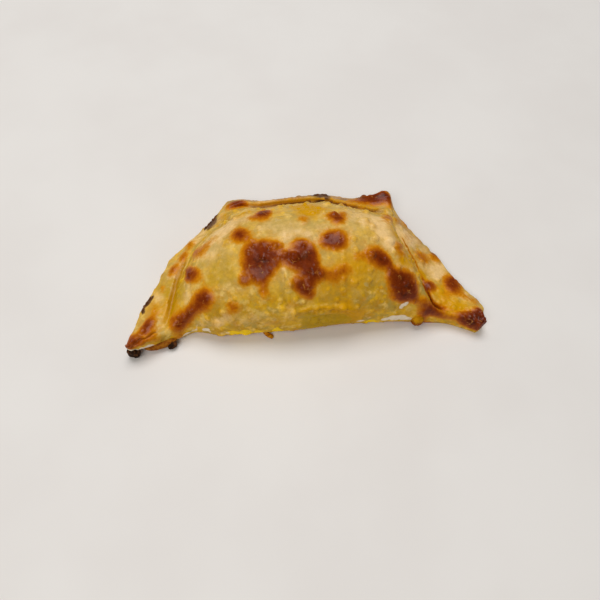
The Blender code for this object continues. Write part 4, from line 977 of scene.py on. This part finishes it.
charred = bit_material("charred_dough", (0.110, 0.040, 0.012), (0.022, 0.009, 0.004), 0.47, rough=(0.6, 0.85))
browned_layer = bit_material("browned_under_layer", (0.40, 0.145, 0.010), (0.24, 0.065, 0.006), 0.50)
knob_dough = bit_material("browned_knob", (0.62, 0.29, 0.003), (0.50, 0.20, 0.002), 0.56, foot=(0.26, 0.060, 0.001), foot_at=(0.10, 0.60))
sliver_dough = bit_material("burnt_hem_sliver", (0.17, 0.072, 0.028), (0.075, 0.028, 0.010), 0.5, rough=(0.6, 0.85))
yolk = bit_material("cooked_egg_wash", (0.72, 0.30, 0.004), (0.38, 0.115, 0.003), 0.52)
rough_lump("burnt_foot", BURNT_FOOT, charred, 91, 0.45, square=3.6)
rough_lump("lower_layer", LOWER_LAYER, browned_layer, 92, 0.2, blister=0.15)
rough_lump("lower_layer_burn", ((-68.0, -0.9, 1.9), (2.4, 1.7, 1.8), 20), charred, 93, 0.35, square=3.2)
rough_lump("front_knob", KNOB, knob_dough, 94, 0.25, blister=0.1)
trail("egg_drip", [(-23.2, 3.4, 1.3), (-22.0, 1.9, 1.1), (-20.6, 0.9, 0.9), (-19.6, 0.1, 0.7), (-19.5, -0.9, 0.5)], (0.8, 1.0, 1.15, 1.3, 0.8),
      (0.8, 0.9, 0.8, 0.8, 0.5), yolk, 95)
for number, (thick, path) in enumerate(SLIVERS):
    high = [max(p[2], 0.6) for p in path]
    trail(f"burnt_sliver_{number + 1}", path, [0.45 * thick] + [thick] * 3 + [0.4 * thick], [0.3 * thick] + [0.55 * thick] * 3 + [0.3 * thick], sliver_dough, 100 + number, 0.60)

# ---------------------------------------------------------------- floor, light and camera
bpy.ops.mesh.primitive_plane_add(size=4, location=(0, 0, float(placed[2])))
floor = bpy.context.object
floor.name = "floor"
n = Nodes("pale_floor")
n.link(n.mix(n.step(n.noise(60, 3, 0.5, 1.0), 0.3, 0.7), (0.80, 0.765, 0.73), (0.83, 0.80, 0.765)), n.shader.inputs["Base Color"])
n.shader.inputs["Roughness"].default_value = 0.7
floor.data.materials.append(n.material)

centre = Vector(to_frame(np.array([0.0, 40.0, 15.0])))


def area_light(name, where, size, energy, tint=(1, 1, 1)):
    light = bpy.data.lights.new(name, "AREA")
    light.shape = "RECTANGLE"
    light.size, light.size_y = size
    light.energy = energy
    light.color = tint
    obj = bpy.data.objects.new(name, light)
    obj.location = centre + Vector(where)
    obj.rotation_euler = (centre - obj.location).to_track_quat("-Z", "Y").to_euler()
    bpy.context.scene.collection.objects.link(obj)
    return obj


area_light("overhead", (-0.05, 0.72, 1.75), (1.35, 1.0), 22, (0.985, 0.99, 1.0))
area_light("front_fill", (-0.75, -0.95, 1.45), (1.1, 0.9), 13.5, (1.0, 0.97, 0.93))
world = bpy.data.worlds.new("soft_room")
world.use_nodes = True
world.node_tree.nodes["Background"].inputs["Color"].default_value = (1.0, 0.985, 0.965, 1)
world.node_tree.nodes["Background"].inputs["Strength"].default_value = 0.15
bpy.context.scene.world = world

SIGHT_FROM = (-27.818, -114.677, 233.083)
RIGHT, UP, FORWARD = (0.99355828, -0.10370055, 0.04569611), (0.06650665, 0.8600845, 0.50579791), (0.09175404, 0.4995006, -0.86144085)
camera_data = bpy.data.cameras.new("camera")
camera_data.sensor_width = 36.0
camera_data.lens = 517.75 / 600 * 36.0
camera_data.clip_start = 0.01
camera_data.clip_end = 20
camera = bpy.data.objects.new("camera", camera_data)
bpy.context.scene.collection.objects.link(camera)
turn = Matrix([RIGHT, UP, [-c for c in FORWARD]]).transposed().to_4x4()
camera.matrix_world = Matrix.Translation(Vector(to_frame(np.array(SIGHT_FROM)))) @ turn
bpy.context.scene.camera = camera

bpy.context.scene.view_settings.view_transform = "Standard"
bpy.context.scene.view_settings.look = "None"
